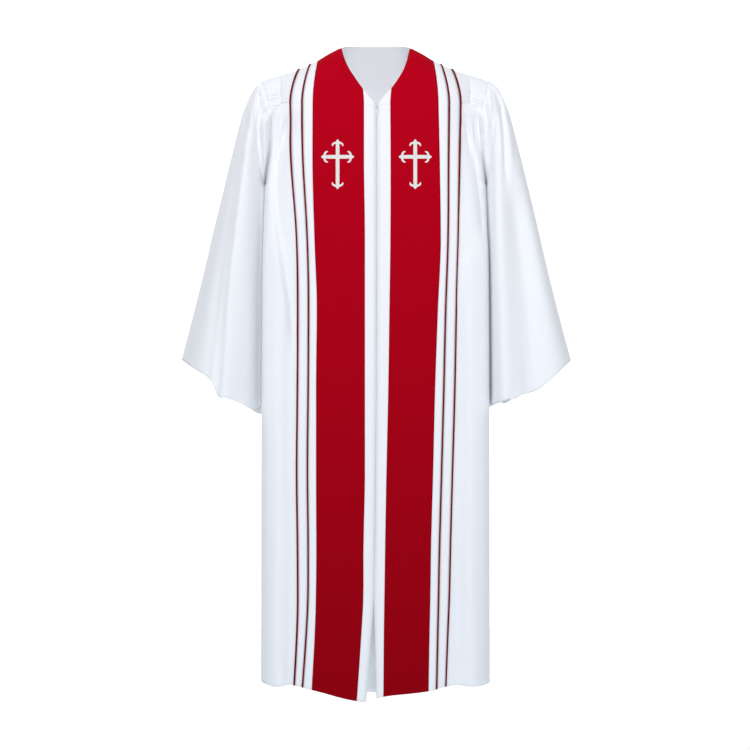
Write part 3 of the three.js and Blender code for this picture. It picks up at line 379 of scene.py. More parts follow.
# %% The body as a function of two lengths
GRIP = (11, 36)             # how late the cloth turns in to the armhole: at its top, lower down
GRIP_FROM, GRIP_RUN = -140, 45
CALM_EDGE = 10              # folds die out over this much cloth before the armhole seam
SIDE_TURN = 1.4             # angle in radians by which folds point sideways at the side seams


def armhole_share(z):
    """How far the armhole reaches from the side seam at a level: a squarish oval."""
    u = np.clip(np.abs(z - ARMHOLE_MIDDLE) / ARMHOLE_HALF, 0, 1)
    return (1 - u**2.4) ** (1 / 2.4)


def armhole_x(z, face):
    """The armhole seam's distance from the middle of the robe."""
    return along(ARMHOLE, "z", "front" if face < 0 else "back", z)


def body_point(x, z, face):
    """side + depth * (1 - |x / half|^square)^power, pulled to the armhole and lifted by folds."""
    half, square, power = (curve(BODY, "z", name, z) for name in ("half", "square", "edge"))
    depth = curve(BODY, "z", "front" if face < 0 else "back", z)
    away = np.abs(x)

    def section(distance):
        share = np.clip(distance / half, 0, 1)
        return SIDE_Y + face * depth * np.maximum(0, 1 - share**square) ** power

    edge = armhole_x(z, face)
    seam_y = SIDE_Y + face * armhole_share(z) * ARMHOLE_REACH[face]
    grip = mix(*GRIP, below(z, GRIP_FROM, GRIP_RUN))
    pull = (seam_y - section(edge)) * np.minimum(1, away / edge) ** grip
    by_armhole = z >= UNDERARM_Z
    y = section(away) + np.where(by_armhole, pull, 0)
    lift = fold_height(face, x, z)
    if face < 0:
        for side in SIDES:
            lift = lift + np.where(x * side > 0, leaning_folds(away, z, CREASES[side]), 0)
    lift = lift * np.where(by_armhole, ease((edge - away) / CALM_EDGE), 1)
    turn = SIDE_TURN * np.clip(away / half, 0, 1) ** 16
    return np.stack([x + np.sign(x) * lift * np.sin(turn), y + face * lift * np.cos(turn),
                     z + 0 * x], axis=-1)


# %% Grids, their normals and their true lengths
def unit(vectors):
    """The same directions with a length of one."""
    return vectors / np.maximum(np.linalg.norm(vectors, axis=-1, keepdims=True), 1e-9)


def grid_normals(points):
    """Cross product of the grid's two directions."""
    return unit(np.cross(np.gradient(points, axis=1), np.gradient(points, axis=0)))


def cloth_lengths(points):
    """Distances along each row and down each column, in metres, for use as UV coordinates."""
    across = np.linalg.norm(np.diff(points, axis=1), axis=-1)
    down = np.linalg.norm(np.diff(points, axis=0), axis=-1)
    u = np.concatenate([np.zeros((len(points), 1)), np.cumsum(across, axis=1)], axis=1)
    v = np.concatenate([np.zeros((1, points.shape[1])), np.cumsum(down, axis=0)], axis=0)
    middle = u[:, u.shape[1] // 2][:, None]
    return np.stack([u - middle, v], axis=-1).reshape(-1, 2) * MM


def sheet_area(points):
    """Area of a grid of quads, in square metres."""
    a = points[1:, 1:] - points[:-1, :-1]
    b = points[1:, :-1] - points[:-1, 1:]
    return 0.5 * np.linalg.norm(np.cross(a, b), axis=-1).sum() * MM * MM


def quad_faces(rows, columns, wrap=False, flip=False):
    """Corner numbers of a grid's quads; wrap joins its last column to its first."""
    index = np.arange(rows * columns).reshape(rows, columns)
    right = np.roll(index, -1, axis=1) if wrap else index[:, 1:]
    left = index if wrap else index[:, :-1]
    quads = np.stack([left[:-1], left[1:], right[1:], right[:-1]], axis=-1).reshape(-1, 4)
    return quads[:, ::-1] if flip else quads


def make_mesh(name, vertices, quads, material, uv=None, smooth=True):
    """A mesh from arrays, in metres, with its material, and a UV map when one is given."""
    mesh = bpy.data.meshes.new(name)
    mesh.vertices.add(len(vertices))
    mesh.vertices.foreach_set("co", (vertices * MM).astype(np.float32).ravel())
    sides = quads.shape[1]
    mesh.loops.add(quads.size)
    mesh.loops.foreach_set("vertex_index", quads.astype(np.int32).ravel())
    mesh.polygons.add(len(quads))
    mesh.polygons.foreach_set("loop_start", np.arange(0, quads.size, sides, dtype=np.int32))
    mesh.polygons.foreach_set("use_smooth", np.full(len(quads), smooth))
    mesh.update(calc_edges=True)
    if uv is not None:
        layer = mesh.uv_layers.new(name="cloth")
        layer.data.foreach_set("uv", uv[quads.ravel()].astype(np.float32).ravel())
    mesh.materials.append(material)
    return add_object(name, mesh)


def thicken(piece, thickness):
    """The mesh is the outer face of the piece; Solidify adds the inner one."""
    shell = piece.modifiers.new("thickness", "SOLIDIFY")
    shell.thickness = thickness * MM
    shell.offset = -1


# %% [markdown]
# ## Materials
# The suiting is a plain weave of polyester: warp and weft cross at every thread, about two to the
# millimetre, and a faint sheen lies over it. White cloth in soft light is a shade towards blue. The
# threads could be modelled, but millions of them would show no more than a bump does, so the weave
# is a pattern in the shader.

# %% Cloth, thread and enamel
THREAD_MM = 0.45            # pitch of the weave
WEAVE_BUMP = 0.25
WAVE_SCALE = 0.314          # scale at which the wave texture repeats once in each unit


def add_bump(tree, pattern, strength, distance):
    """Lets a pattern's height turn the surface."""
    bump = node(tree, "ShaderNodeBump", {"Strength": strength, "Distance": distance},
                Height=pattern.outputs["Fac"])
    tree.links.new(bump.outputs["Normal"], tree.nodes["Principled BSDF"].inputs["Normal"])


def cloth_material(name, top_colour, shaded_hem_colour, roughness=0.85, sheen=0.25, specular=0.3):
    """Plain weave: crossed threads as bump; painted shade darkens the colour slowly to the hem."""
    material = plain_shader(name, top_colour, roughness, Sheen_Weight=sheen, Sheen_Roughness=0.5,
                            Specular_IOR_Level=specular)
    tree = material.node_tree
    place = node(tree, "ShaderNodeTexCoord")
    parts = node(tree, "ShaderNodeSeparateXYZ", Vector=place.outputs["Object"])
    height = node(tree, "ShaderNodeMapRange", {"From Min": HEM_Z * MM, "From Max": 0.0},
                  Value=parts.outputs["Z"])
    # Painted shade: darker towards the hem, where less light from above reaches.
    shade_mix = node(tree, "ShaderNodeMix", {"data_type": "RGBA"}, Factor=height.outputs["Result"])
    shade_mix.inputs[6].default_value = linear(shaded_hem_colour)
    shade_mix.inputs[7].default_value = linear(top_colour)
    tree.links.new(shade_mix.outputs[2], tree.nodes["Principled BSDF"].inputs["Base Color"])
    weave = node(tree, "ShaderNodeTexMagic",
                 {"turbulence_depth": 0, "Scale": math.pi / (THREAD_MM * MM)},
                 Vector=place.outputs["UV"])
    add_bump(tree, weave, WEAVE_BUMP, 0.0001)
    return material


# The second colour of each is the first one darkened: painted shade towards the hem.
WHITE = cloth_material("polyester suiting white", "#f2f3f7", "#e4eaf1")
RED = cloth_material("polyester suiting red", "#b6001b", "#88000e", sheen=0.0, specular=0.03)
PIPING = cloth_material("polyester piping wine", "#74081c", "#680617", roughness=0.7, sheen=0.0,
                        specular=0.1)


def satin_material():
    """Rayon threads side by side across the bar, half a millimetre apart, with a soft gloss."""
    material = plain_shader("rayon embroidery thread white", "#f0efee", 0.5)
    tree = material.node_tree
    place = node(tree, "ShaderNodeTexCoord")
    threads = node(tree, "ShaderNodeTexWave",
                   {"bands_direction": "Y", "Scale": WAVE_SCALE / (THREAD_MM * MM)},
                   Vector=place.outputs["UV"])
    add_bump(tree, threads, 0.6, 0.0003)
    return material


SATIN = satin_material()
THREAD = plain_shader("polyester sewing thread white", "#e6e5ee", 0.6)
# Its second colour is painted shade towards the hem too.
TAPE = cloth_material("polyester zip tape white", "#eceaf2", "#e8e6ee", sheen=0.0)
TEETH = plain_shader("nylon zip teeth white", "#e6e7ec", 0.45)
ENAMEL = plain_shader("white enamelled zinc", "#d9dadf", 0.35, Coat_Weight=0.3)
print("materials", len(bpy.data.materials))

# %% [markdown]
# ## Fronts
# One grid covers a whole front from the neck and shoulder to the hem. Its columns follow the sewn
# lines, so the band, the strips and the piping are cut from the same grid and lie on it exactly.
# Separate meshes laid over each other would cut through the folds somewhere.

# %% Columns and rows of a front
BAND_SPLITS = 22            # columns across a band, a strip, a front's plain side and the back
STRIP_SPLITS = 4
SIDE_SPLITS = 40
BACK_SPLITS = 168
YOKE_ROWS = 34              # rows above the yoke seam
LEVEL_STEPS = 190           # rows from the yoke seam to the hem
PIPE_HALF = {"pipeIn": 1.6, "pipeOut": 1.5}
SEAM_RISE = 36              # the yoke seam's own line has died out this far below it
SEAM_LEAN, SEAM_PULL = 0.12, 0.95   # how far the yoke leans in above its seam, and how firmly


def levels(first):
    """Levels of the rows: closer together near the yoke seam, where the small folds are."""
    t = np.linspace(0, 1, LEVEL_STEPS)[:, None]
    return first + (HEM_Z - first) * (0.55 * t + 0.45 * t**2)


def side_x(start, z, share, face):
    """Columns out to the side: even in x near the yoke, even in angle round the section below."""
    half = curve(BODY, "z", "half", z)
    edge = np.where(z >= UNDERARM_Z, armhole_x(z, face), half)
    flat = mix(start, edge, share)
    first = np.arcsin(np.clip(start / half, 0, 1))
    last = np.arcsin(np.clip(edge / half, 0, 1))
    round_x = half * np.sin(mix(first, last, share))
    return mix(flat, round_x, below(z, -215, 50))


def front_columns(side):
    """For each column, the name of the piece it starts and a function from level to distance."""
    def lane(name, shift=0.0):
        return lambda z: curve(LANES[side], "z", name, z) + shift

    def between(kind, first, last, count):
        return [(kind, lambda z, t=i / count: mix(first(z), last(z), t))
                for i in range(1, count + 1)]

    band_in, band_out = lane("bandIn"), lane("bandOut")
    columns = [("edge", lane("edge", SEAM / 2)), *between("edge", lane("edge", 0.2), band_in, 2),
               *between("band", band_in, band_out, BAND_SPLITS)]
    last = band_out
    for strip, pipe in (("strip_inner", "pipeIn"), ("strip_outer", "pipeOut")):
        near, far = lane(pipe, -PIPE_HALF[pipe]), lane(pipe, PIPE_HALF[pipe])
        columns += [*between(strip, last, near, STRIP_SPLITS), (pipe, lane(pipe)), (pipe, far)]
        last = far
    shares = np.arange(1, SIDE_SPLITS + 1) / SIDE_SPLITS
    columns += [("side", lambda z, t=share: side_x(last(z), z, t, -1)) for share in shares]
    return columns


def yoke_rows(seam, top_x, out, face):
    """Curves that leave the seam upright and reach the neck or shoulder at their own lean.

    The neck is a smooth curve; beyond it the shoulder runs straight from row to row of its table.
    """
    table = YOKE_TOP[face]
    neck = {key: values[:table["x"].index(NECK_X) + 1] for key, values in table.items()}
    y, z, lean = (np.where(top_x < NECK_X, curve(neck, "x", key, top_x),
                           along(table, "x", key, top_x)) for key in ("y", "z", "lean"))
    top = np.stack([out, np.where(top_x < NECK_X, y, face * SEAM / 2), z], axis=-1)
    reach = np.linalg.norm(seam - top, axis=-1, keepdims=True)
    leave = np.array([0, -SEAM_LEAN * face, 1]) * reach * SEAM_PULL
    angle = np.radians(lean)
    arrive = np.stack([0 * angle, -face * np.sin(angle), np.cos(angle)], axis=-1) * reach
    share = 1 - np.arange(YOKE_ROWS) / YOKE_ROWS
    return cubic(share[:, None, None], seam, leave, top, arrive)


def hem_drop(face, x, z):
    """How far a row is let down so that the last one follows the hem."""
    return (curve(HEM[face], "x", "z", x) - HEM_Z) * below(z, VENT_Z, VENT_Z - HEM_Z)


def front_grid(side):
    """Rows from the neck and shoulder down to the hem; the yoke seam is row YOKE_ROWS."""
    columns = front_columns(side)
    base = levels(FRONT_SEAM_Z)
    z = np.repeat(base, len(columns), axis=1)
    for _ in range(2):      # the columns' places depend on the levels, so it takes two rounds
        x = side * np.stack([at(z[:, c]) for c, (_, at) in enumerate(columns)], axis=1)
        rise = along(YOKE_SEAM, "x", "rise", np.abs(x))
        z = base + rise * above(base, FRONT_SEAM_Z - SEAM_RISE, SEAM_RISE) + hem_drop(-1, x, base)
    points = body_point(x, z, -1)
    points[z[:, -1] <= UNDERARM_Z, -1, 1] = SIDE_Y - SEAM / 2
    seam = points[0]
    from_edge = np.abs(seam[:, 0])
    from_edge[0] = 0
    top_x = along(LANE_TOPS[side], "seam", "top", from_edge)
    share = np.clip(top_x / NECK_X, 0, 1)
    out = side * (top_x + NECK_LEAN[side] * 4 * share * (1 - share))
    out[0] = seam[0, 0]
    yoke = yoke_rows(seam, top_x, out, -1)
    yoke[:, -1, 0] = side * armhole_x(yoke[:, -1, 2], -1)
    return np.concatenate([yoke, points]), np.array([kind for kind, _ in columns])


def back_grid():
    """The back as one grid from its left side to its right, with the yoke above the seam."""
    across = 1 - 2 * np.arange(BACK_SPLITS + 1) / BACK_SPLITS
    base = levels(BACK_SEAM_Z)
    z = base + 0 * across
    for _ in range(2):
        x = np.sign(across) * side_x(0 * z, z, np.abs(across), 1)
        z = base + hem_drop(1, x, base)
    points = body_point(x, z, 1)
    points[z[:, 0] <= UNDERARM_Z, ::BACK_SPLITS, 1] = SIDE_Y + SEAM / 2
    seam = points[0]
    top_x = SHOULDER_X * np.abs(seam[:, 0]) / abs(seam[0, 0])
    yoke = yoke_rows(seam, top_x, np.sign(across) * top_x, 1)
    for end in (0, -1):
        yoke[:, end, 0] = across[end] * armhole_x(yoke[:, end, 2], 1)
    return np.concatenate([yoke, points])


# %% Pieces of the fronts
# Each kind of piece: its material and slot, then its cut laid flat: width and length in metres and
# area in square metres.
CUTS = {
    "front": (WHITE, "white_cloth", 0.335, 1.27, 0.41),
    "yoke_front": (WHITE, "white_cloth", 0.22, 0.17, 0.024),
    "band": (RED, "red_cloth", 0.115, 1.37, 0.145),
    "strip": (WHITE, "white_cloth", 0.022, 1.36, 0.027),
    "piping": (PIPING, "piping", 0.01, 1.36, 0.006),
    "back": (WHITE, "white_cloth", 0.70, 1.30, 0.86),
    "yoke_back": (WHITE, "white_cloth", 0.44, 0.22, 0.065),
    "sleeve": (WHITE, "white_cloth", 0.84, 0.70, 0.45),
    "shirred": (WHITE, "white_cloth", 0.62, 0.04, 0.013),
    "zip_tape": (TAPE, "zip_tape", 0.03, 1.06, 0.03),
}


def sew(name, points, cut, solid, flip=False, wrap=False, thickness=CLOTH):
    """Cloth behind a grid of points, with the solid that it replaces hidden if it has one."""
    material, slot, width, length, area = CUTS[cut]
    quads = quad_faces(*points.shape[:2], wrap, flip)
    piece = make_mesh(name, points.reshape(-1, 3), quads, material, cloth_lengths(points))
    thicken(piece, thickness)
    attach(piece, BODY_NAME)
    if solid:
        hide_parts(solid)
    print(name, points.shape[:2], "area", round(sheet_area(points), 3))


# Columns, cut, height of the outer face above the front, and the solid.
SEWN_ON = (("band", "band", BAND_PROUD, "band"),
           ("strip_inner", "strip", BAND_PROUD, "strip_inner"),
           ("pipeIn", "piping", PIPE_PROUD, "piping_inner"),
           ("strip_outer", "strip", BAND_PROUD, "strip_outer"),
           ("pipeOut", "piping", PIPE_PROUD, "piping_outer"))


def build_front(side, name):
    """The front, its yoke, and the band, strips and piping cut from the same grid."""
    grid, kinds = front_grid(side)
    flip = side > 0
    ways = -side * grid_normals(grid)
    sew(f"{name}_front_cloth", grid[YOKE_ROWS:], "front", f"front_{name}", flip)
    sew(f"{name}_front_yoke_cloth", grid[:YOKE_ROWS + 1], "yoke_front", f"yoke_front_{name}", flip)
    for kind, cut, proud, solid in SEWN_ON:
        columns = np.flatnonzero(kinds == kind)
        run = slice(columns[0] - 1, columns[-1] + 1)
        face = grid[:, run] + ways[:, run] * proud
        step = np.linalg.norm(face[1] - face[0], axis=-1, keepdims=True)
        face[0] = mix(face[0], face[1], np.minimum(0.9, NECK_EDGE / step))
        sew(f"{name}_{kind}_cloth", face, cut, f"{solid}_{name}", flip, thickness=proud - SEAM)
    return grid, ways


fronts = {side: build_front(side, name) for side, name in SIDES.items()}

# %% The back and its yoke
back = back_grid()
back_normals = -grid_normals(back)
sew("back_cloth", back[YOKE_ROWS:], "back", "back", flip=True)
sew("back_yoke_cloth", back[:YOKE_ROWS + 1], "yoke_back", "yoke_back", flip=True)

# %% [markdown]
# ## Sleeves
# A bell sleeve is shirred at its head: a strip of small, even pleats is drawn up to the armhole and
# the cloth below springs out from it in deep folds. A few key rings carry the form from armhole to
# mouth, with a smooth curve through them. The folds are added last: each follows a line down the
# cloth and is steeper on one side than on the other, as the cloth of a real fold leans over.

# %% Key rings of a sleeve
RINGS = {                   # from below the head to the mouth
    "topX": [256, 266, 275, 286, 300, 321, 344, 366, 391, 414],
    "topZ": [-81, -97, -116, -146, -200, -285, -380, -475, -575, -664],
    "lowX": [236.4, 236.7, 237, 237.3, 237.8, 238.4, 239.2, 240, 240.8, 241.6],
    "lowZ": [-297, -306, -322, -342, -375, -430, -500, -580, -672, -766],
    "front": [74, 82, 88, 95, 103, 113, 122, 131, 139, 146],
    "back": [76, 84, 91, 98, 107, 117, 127, 136, 145, 151],
}
SHIRRED = {"z": [-292, -200, -150, -128, -100, -57], "wide": [2, 5, 9, 23, 31, 40]}
INNER_SQUARE = {-1: 2.5, 1: 4.5}    # how squarely each sleeve meets the body
OUTER_SQUARE = {-1: 1.95, 1: 3.6}   # and how squarely it turns on the outside
LAST_RING = len(RINGS["topX"]) + 1  # the armhole seam is ring 0, the foot of the strip ring 1
STRIP_FALL = (0.36, 0.27)   # slope of the strip at the top of the head, and before and behind
STRIP_FORWARD = (1.06, 1.5)         # how far its foot stands forward, above and lower down
SLEEVE_COLUMNS = 288
FINE_SPOT, FINE_ROWS, OTHER_ROWS = 3.4, 46, 112     # finer rows down to that ring
ARMHOLE_SQUARE = 2.2
SLEEVE_SEAM = 0.45          # gap between the armhole's edge and the sleeve


def superellipse(angle, square):
    """Cosine and sine whose powers add up to one, so that a ring turns its corners slowly."""
    cosine, sine = np.cos(angle), np.sin(angle)
    return (np.sign(cosine) * np.abs(cosine) ** (2 / square),
            np.sign(sine) * np.abs(sine) ** (2 / square))


def outward(angle):
    """The way a ring's points are raised by pleats and folds."""
    return np.stack([0.35 * np.cos(angle), -np.sin(angle), 0.95 * np.cos(angle)], axis=-1)


def armhole_ring(angle):
    """The seam between body and sleeve, for angles from its top over the front."""
    rise, _ = superellipse(angle, ARMHOLE_SQUARE)
    z = ARMHOLE_MIDDLE + ARMHOLE_HALF * rise
    front = np.sin(angle) > 0
    reach = armhole_share(z) * np.where(front, ARMHOLE_REACH[-1], ARMHOLE_REACH[1])
    y = mix(SIDE_Y, 0, above(z, -174, 100)) + np.where(front, -reach, reach)
    x = np.where(front, armhole_x(z, -1), armhole_x(z, 1)) + SLEEVE_SEAM
    return np.stack([x, y, z], axis=-1)


def shirred_ring(angle):
    """The foot of the shirred strip, where its last row of gathering thread runs."""
    x, y, z = armhole_ring(angle).T
    wide = along(SHIRRED, "z", "wide", z)
    fall = mix(*STRIP_FALL, np.abs(np.sin(angle))) * above(z, -160, 20)
    forward = mix(*STRIP_FORWARD, below(z, -128, 40))
    return np.stack([x + wide, y * forward, z - wide * fall], axis=-1)


def key_rings(angle, side):
    """Armhole seam, foot of the strip, then the sections down to the mouth."""
    rings = [armhole_ring(angle), shirred_ring(angle)]
    square = np.where(np.cos(angle) < 0, INNER_SQUARE[side], OUTER_SQUARE[side])
    rise, across = superellipse(angle, square)
    down = (1 - rise) / 2
    for top_x, top_z, low_x, low_z, before, behind in zip(*RINGS.values()):
        reach = np.where(np.sin(angle) > 0, before, behind)
        rings.append(np.stack([mix(top_x, low_x, down), SIDE_Y - across * reach,
                               mix(top_z, low_z, down)], axis=-1))
    return np.array(rings)


def through(keys, spots):
    """A cubic through key rings: the slope at each is the mean of the steps on either side."""
    slopes = np.gradient(keys, axis=0)
    i = np.clip(np.floor(spots).astype(int), 0, len(keys) - 2)
    return cubic((spots - i)[:, None, None], keys[i], slopes[i], keys[i + 1], slopes[i + 1])


# %% Folds of a sleeve
# For the right sleeve (-1) and the left (1), in rows like those of the creases.
FRONT_SLEEVE_FOLDS = {-1: [
    ([(268, -135), (285, -206), (302, -332), (320, -457), (340, -625), (352, -725)], 6, 14, -3,
     -180, 90),
    ([(254, -108), (265, -185), (276, -269), (288, -395), (303, -541), (317, -740)], 24, 10, 10,
     -150, 50),
    ([(249, -170), (249, -269), (248, -395), (246, -541), (245, -700)], 9, 12, -6, -240, 90),
    ([(234, -118), (231, -200), (230, -290), (234, -380)], 7, 9, 9, -130, 20, -290, 110),
    ([(243, -104), (246, -160), (246, -230)], 5, 5, -8, -108, 8, -180, 70),
    ([(252, -96), (262, -150)], 4, 5, 6, -98, 8, -150, 50),
    ([(222, -106), (229, -130), (232, -160)], 3, 4, -8, -112, 8, -140, 40),
    ([(262, -90), (274, -150)], 4, 5, -6, -94, 8, -150, 60),
    ([(243, -96), (238, -125)], 3, 3.5, 5, -98, 8, -125, 30),
    ([(224, -106), (231, -120), (242, -142)], 3, 3, -9, -106, 8, -132, 14),
    ([(236, -100), (243, -118), (248, -150)], 4, 4, 6, -104, 8, -150, 40),
], 1: [
    ([(238, -108), (246, -160), (250, -269), (252, -395), (254, -541), (258, -750)], 9, 30, 22,
     -140, 30),
    ([(257, -98), (264, -133), (268, -185), (270, -269), (274, -340)], 5, 8, -9,
     -115, 25, -250, 90),
    ([(286, -270), (304, -436), (320, -583), (330, -740)], 20, 30, -13, -400, 160),
    ([(300, -677), (312, -700), (326, -719)], 4, 6, -4, -690, 12, -712, 10),
    ([(231, -112), (229, -190), (229, -260)], 4, 5, -10, -125, 18, -250, 60),
    ([(221, -120), (223, -185), (226, -240)], 4, 5, 6, -130, 14, -220, 50),
    ([(246, -96), (253, -135)], 3.5, 4, 6, -98, 8, -135, 50),
    ([(240, -98), (243, -135)], 3, 3.5, -7, -100, 8, -135, 40),
    ([(265, -92), (274, -140)], 4, 5, 5, -96, 8, -130, 50),
    ([(276, -96), (292, -190)], 5, 7, -6, -102, 20, -190, 80),
]}
BACK_SLEEVE_FOLDS = {-1: [
    ([(240, -120), (250, -260), (256, -420), (262, -760)], 10, 18, 9, -180, 60),
    ([(256, -110), (272, -260), (284, -420), (300, -740)], 12, 14, -11, -220, 90),
    ([(274, -110), (296, -300), (322, -480), (346, -700)], 12, 22, 9, -220, 90),
    ([(300, -200), (330, -380), (366, -620)], 14, 16, -6, -300, 120),
    ([(232, -112), (238, -160)], 4, 4, 4, -118, 8, -150, 50),
    ([(250, -100), (258, -160)], 4, 4, -4, -108, 8, -150, 60),
    ([(264, -94), (274, -160)], 4, 5, 4, -100, 8, -150, 60),
], 1: [
    ([(238, -120), (247, -260), (252, -420), (257, -760)], 9, 16, 8, -180, 60),
    ([(252, -110), (266, -260), (278, -420), (290, -740)], 12, 15, -12, -220, 90),
    ([(270, -110), (290, -300), (316, -480), (338, -700)], 12, 20, 10, -220, 90),
    ([(296, -190), (336, -400), (374, -640)], 14, 16, -6, -300, 120),
    ([(229, -114), (236, -160)], 4, 4, 4, -118, 8, -150, 50),
    ([(246, -102), (255, -160)], 4, 4, -5, -108, 8, -150, 60),
    ([(262, -94), (272, -160)], 4, 5, 4, -100, 8, -150, 60),
]}
# How far the mouth's front edge is let down, by distance from the middle of the robe.
MOUTH = {
    -1: {"x": [236, 240, 250, 284, 309, 325, 333, 340, 367, 430],
         "down": [-5, -3, 10, 15, 20, 27, 17, 5, 0, 0]},
    1: {"x": [236, 242, 277, 289, 300, 323, 338, 375, 405, 430],
        "down": [-6, -5, 2, 10, 10, 18, 20, 10, 2, 0]},
}
BACK_MOUTH_DROP = 12        # the back of the mouth hangs this much lower near the body


def sleeve_surface(angle, spots, side):
    """Rings at the given spots, with their folds and the shape of the mouth."""
    p = through(key_rings(angle, side), spots)
    facing = np.sin(angle)[None]
    start = ease((spots - 0.98) / 0.5)[:, None]
    for table, sign in ((FRONT_SLEEVE_FOLDS[side], 1), (BACK_SLEEVE_FOLDS[side], -1)):
        weight = np.clip(facing * sign, 0, 1) ** 0.6
        p[..., 1] -= sign * leaning_folds(p[..., 0], p[..., 2], table) * weight * start
    front_drop = curve(MOUTH[side], "x", "down", p[..., 0])
    back_drop = front_drop + BACK_MOUTH_DROP * below(p[..., 0], 355, 70)
    run = np.clip((spots - 2) / (LAST_RING - 2), 0, 1)[:, None]
    p[..., 2] -= (front_drop * ease(facing * 4) + back_drop * ease(-facing * 4)) * run**5
    return p


# %% The shirred head
# The strip's pleats are finer than the folds below it, so it has its own, finer grid.
PLEATS = 84
PLEAT_HIGH = 3.0
GATHER_HIGH = 2.6
PLEATED = 150               # degrees from the top of the head to the end of the pleats


def pleated_share(angle):
    """1 round the top of the head, 0 at the underarm."""
    from_top = np.abs(np.degrees(np.where(angle > np.pi, angle - 2 * np.pi, angle)))
    return below(from_top, PLEATED, 40)


def shirred_strip(angle, side):
    """From the armhole seam to the last gathering thread: rounded pleats, arched a little."""
    spots = np.linspace(0, 1, 20)
    p = through(key_rings(angle, side), spots)
    arch = 1.2 * 4 * (spots * (1 - spots))[:, None] * ease((np.cos(angle) - 0.3) / 0.5)
    lean = 0.02 * np.sin(3 * angle)[None] * spots[:, None]
    wave = np.abs(np.sin(PLEATS / 2 * (angle[None] + lean))) ** 0.6
    uneven = (1 + 0.25 * np.sin(angle * 23 + side)) * pleated_share(angle)
    shown = below(p[..., 2], -84, 16) * above(p[..., 2], -165, 30)
    grow = (0.5 + 0.5 * ease(spots / 0.3))[:, None]
    pleats = PLEAT_HIGH * wave * uneven * grow * shown
    return p + outward(angle)[None] * (arch + pleats)[..., None]


def gathers(angle, spots, side):
    """Below the strip the pleats open into fewer, deeper ones and die out."""
    turned = angle[None] - 0.45 * np.sign(np.sin(angle))[None] * (spots - 1)[:, None]
    fewer = 0.5 + 0.5 * np.cos(PLEATS / 2 * turned + 0.8 * np.sin(5 * angle) + side)
    share = pleated_share(angle) * (0.7 + 0.5 * np.sin(7 * angle + side))
    share = share * above(shirred_ring(angle)[:, 2], -165, 30)
    fade = (1 - ease((spots - 1) / 1.1))[:, None]
    return GATHER_HIGH * fewer * share * fade


def build_sleeve(side, name):
    """The sleeve from the last gathering thread to its mouth, and the strip above it."""
    angle = 2 * np.pi * np.arange(SLEEVE_COLUMNS) / SLEEVE_COLUMNS
    spots = np.concatenate([np.linspace(1, FINE_SPOT, FINE_ROWS)[:-1],
                            np.linspace(FINE_SPOT, LAST_RING, OTHER_ROWS)])
    points = sleeve_surface(angle, spots, side)
    points += outward(angle)[None] * gathers(angle, spots, side)[..., None]
    points[..., 0] *= side
    sew(f"{name}_sleeve_cloth", points, "sleeve", f"sleeve_{name}", side > 0, wrap=True)
    fine = 2 * np.pi * np.arange(PLEATS * 6) / (PLEATS * 6)
    strip = shirred_strip(fine, side)
    strip[..., 0] *= side
    sew(f"{name}_shirred_strip", strip, "shirred", None, side > 0, wrap=True)


for side, name in SIDES.items():
    build_sleeve(side, name)

# %% [markdown]
# ## Embroidered crosses
# Each cross is satin stitch: threads laid side by side across a padded bar, so that the bar is
# crowned. It is a cross fleury, with arms that end in a point between two barbs that curl back.
# A bar is a profile carried along a path on the band. Its half width changes on the way, so that
# one function draws arms, points and barbs.

# %% Bars of satin stitch
CROSS = {-1: (-79, -243), 1: (83, -243)}    # where each crossing lies
ARMS = ((1, 0, 35), (-1, 0, 35), (0, 1, 37.5), (0, -1, 68.5))   # way and length
TIP = {                     # half width of a straight bar near its pointed end
    "at": [0, 20, 23, 27, 30, 32.5, 35, 36.5],
    "half": [4.7, 4.7, 4.4, 4.2, 4.7, 3.9, 2.2, 0.4],
}
TIP_START = 36              # from the tip's first row to the end of the arm
BAR_HALF = 5.2
BAR_HIGH = 1.7
BAR_CLEAR = 0.1             # from the band to the bars' edges
NEAR = 2.0                  # distance of the neighbours that give a point its normal
SATIN_BACK = 0.5            # thickness of the stitched shell
PROFILE = 12                # columns across a bar


def on_band(x, z, lift):
    """A point over the band: the front's surface moved out along its normal."""
    across = body_point(x + NEAR, z, -1) - body_point(x - NEAR, z, -1)
    up = body_point(x, z + NEAR, -1) - body_point(x, z - NEAR, -1)
    return body_point(x, z, -1) + unit(np.cross(across, up)) * lift[..., None]


def satin_bar(path, half):
    """Crowned bar: across its path it is a half ellipse whose height follows its width."""
    way = unit(np.gradient(path, axis=0))
    side = np.stack([-way[:, 1], way[:, 0]], axis=1)
    angle = np.linspace(np.pi, 0, PROFILE)
    spots = path[:, None] + side[:, None] * (half[:, None] * np.cos(angle))[..., None]
    high = BAR_HIGH * np.minimum(1, half / BAR_HALF) ** 0.6
    lift = BAND_PROUD + BAR_CLEAR + high[:, None] * np.sin(angle)[None]
    return on_band(spots[..., 0], spots[..., 1], lift)


BARB = {                    # from the arm's middle out and back towards the crossing
    "turn": [0, 0.2, 0.4, 0.6, 0.8, 1],
    "along": [-7.5, -8, -9, -11.2, -14.2, -16.5],
    "out": [1, 4.6, 7.8, 10.2, 10.8, 9.2],
    "half": [3.4, 3.3, 3.1, 2.8, 2.2, 0.8],
}


def arm_bars(length):
    """The straight bar of one arm, its pointed end and its two barbs, in the arm's own frame."""
    u = -1 + (length + 1) * np.linspace(0, 1, 40)
    half = along(TIP, "at", "half", u - length + TIP_START)
    bars = [(np.stack([u, 0 * u], axis=1), half)]
    turn = np.linspace(0, 1, 26)
    ahead, out, half = (curve(BARB, "turn", name, turn) for name in ("along", "out", "half"))
    for side in (-1, 1):
        bars.append((np.stack([length + ahead, side * out], axis=1), half))
    return bars


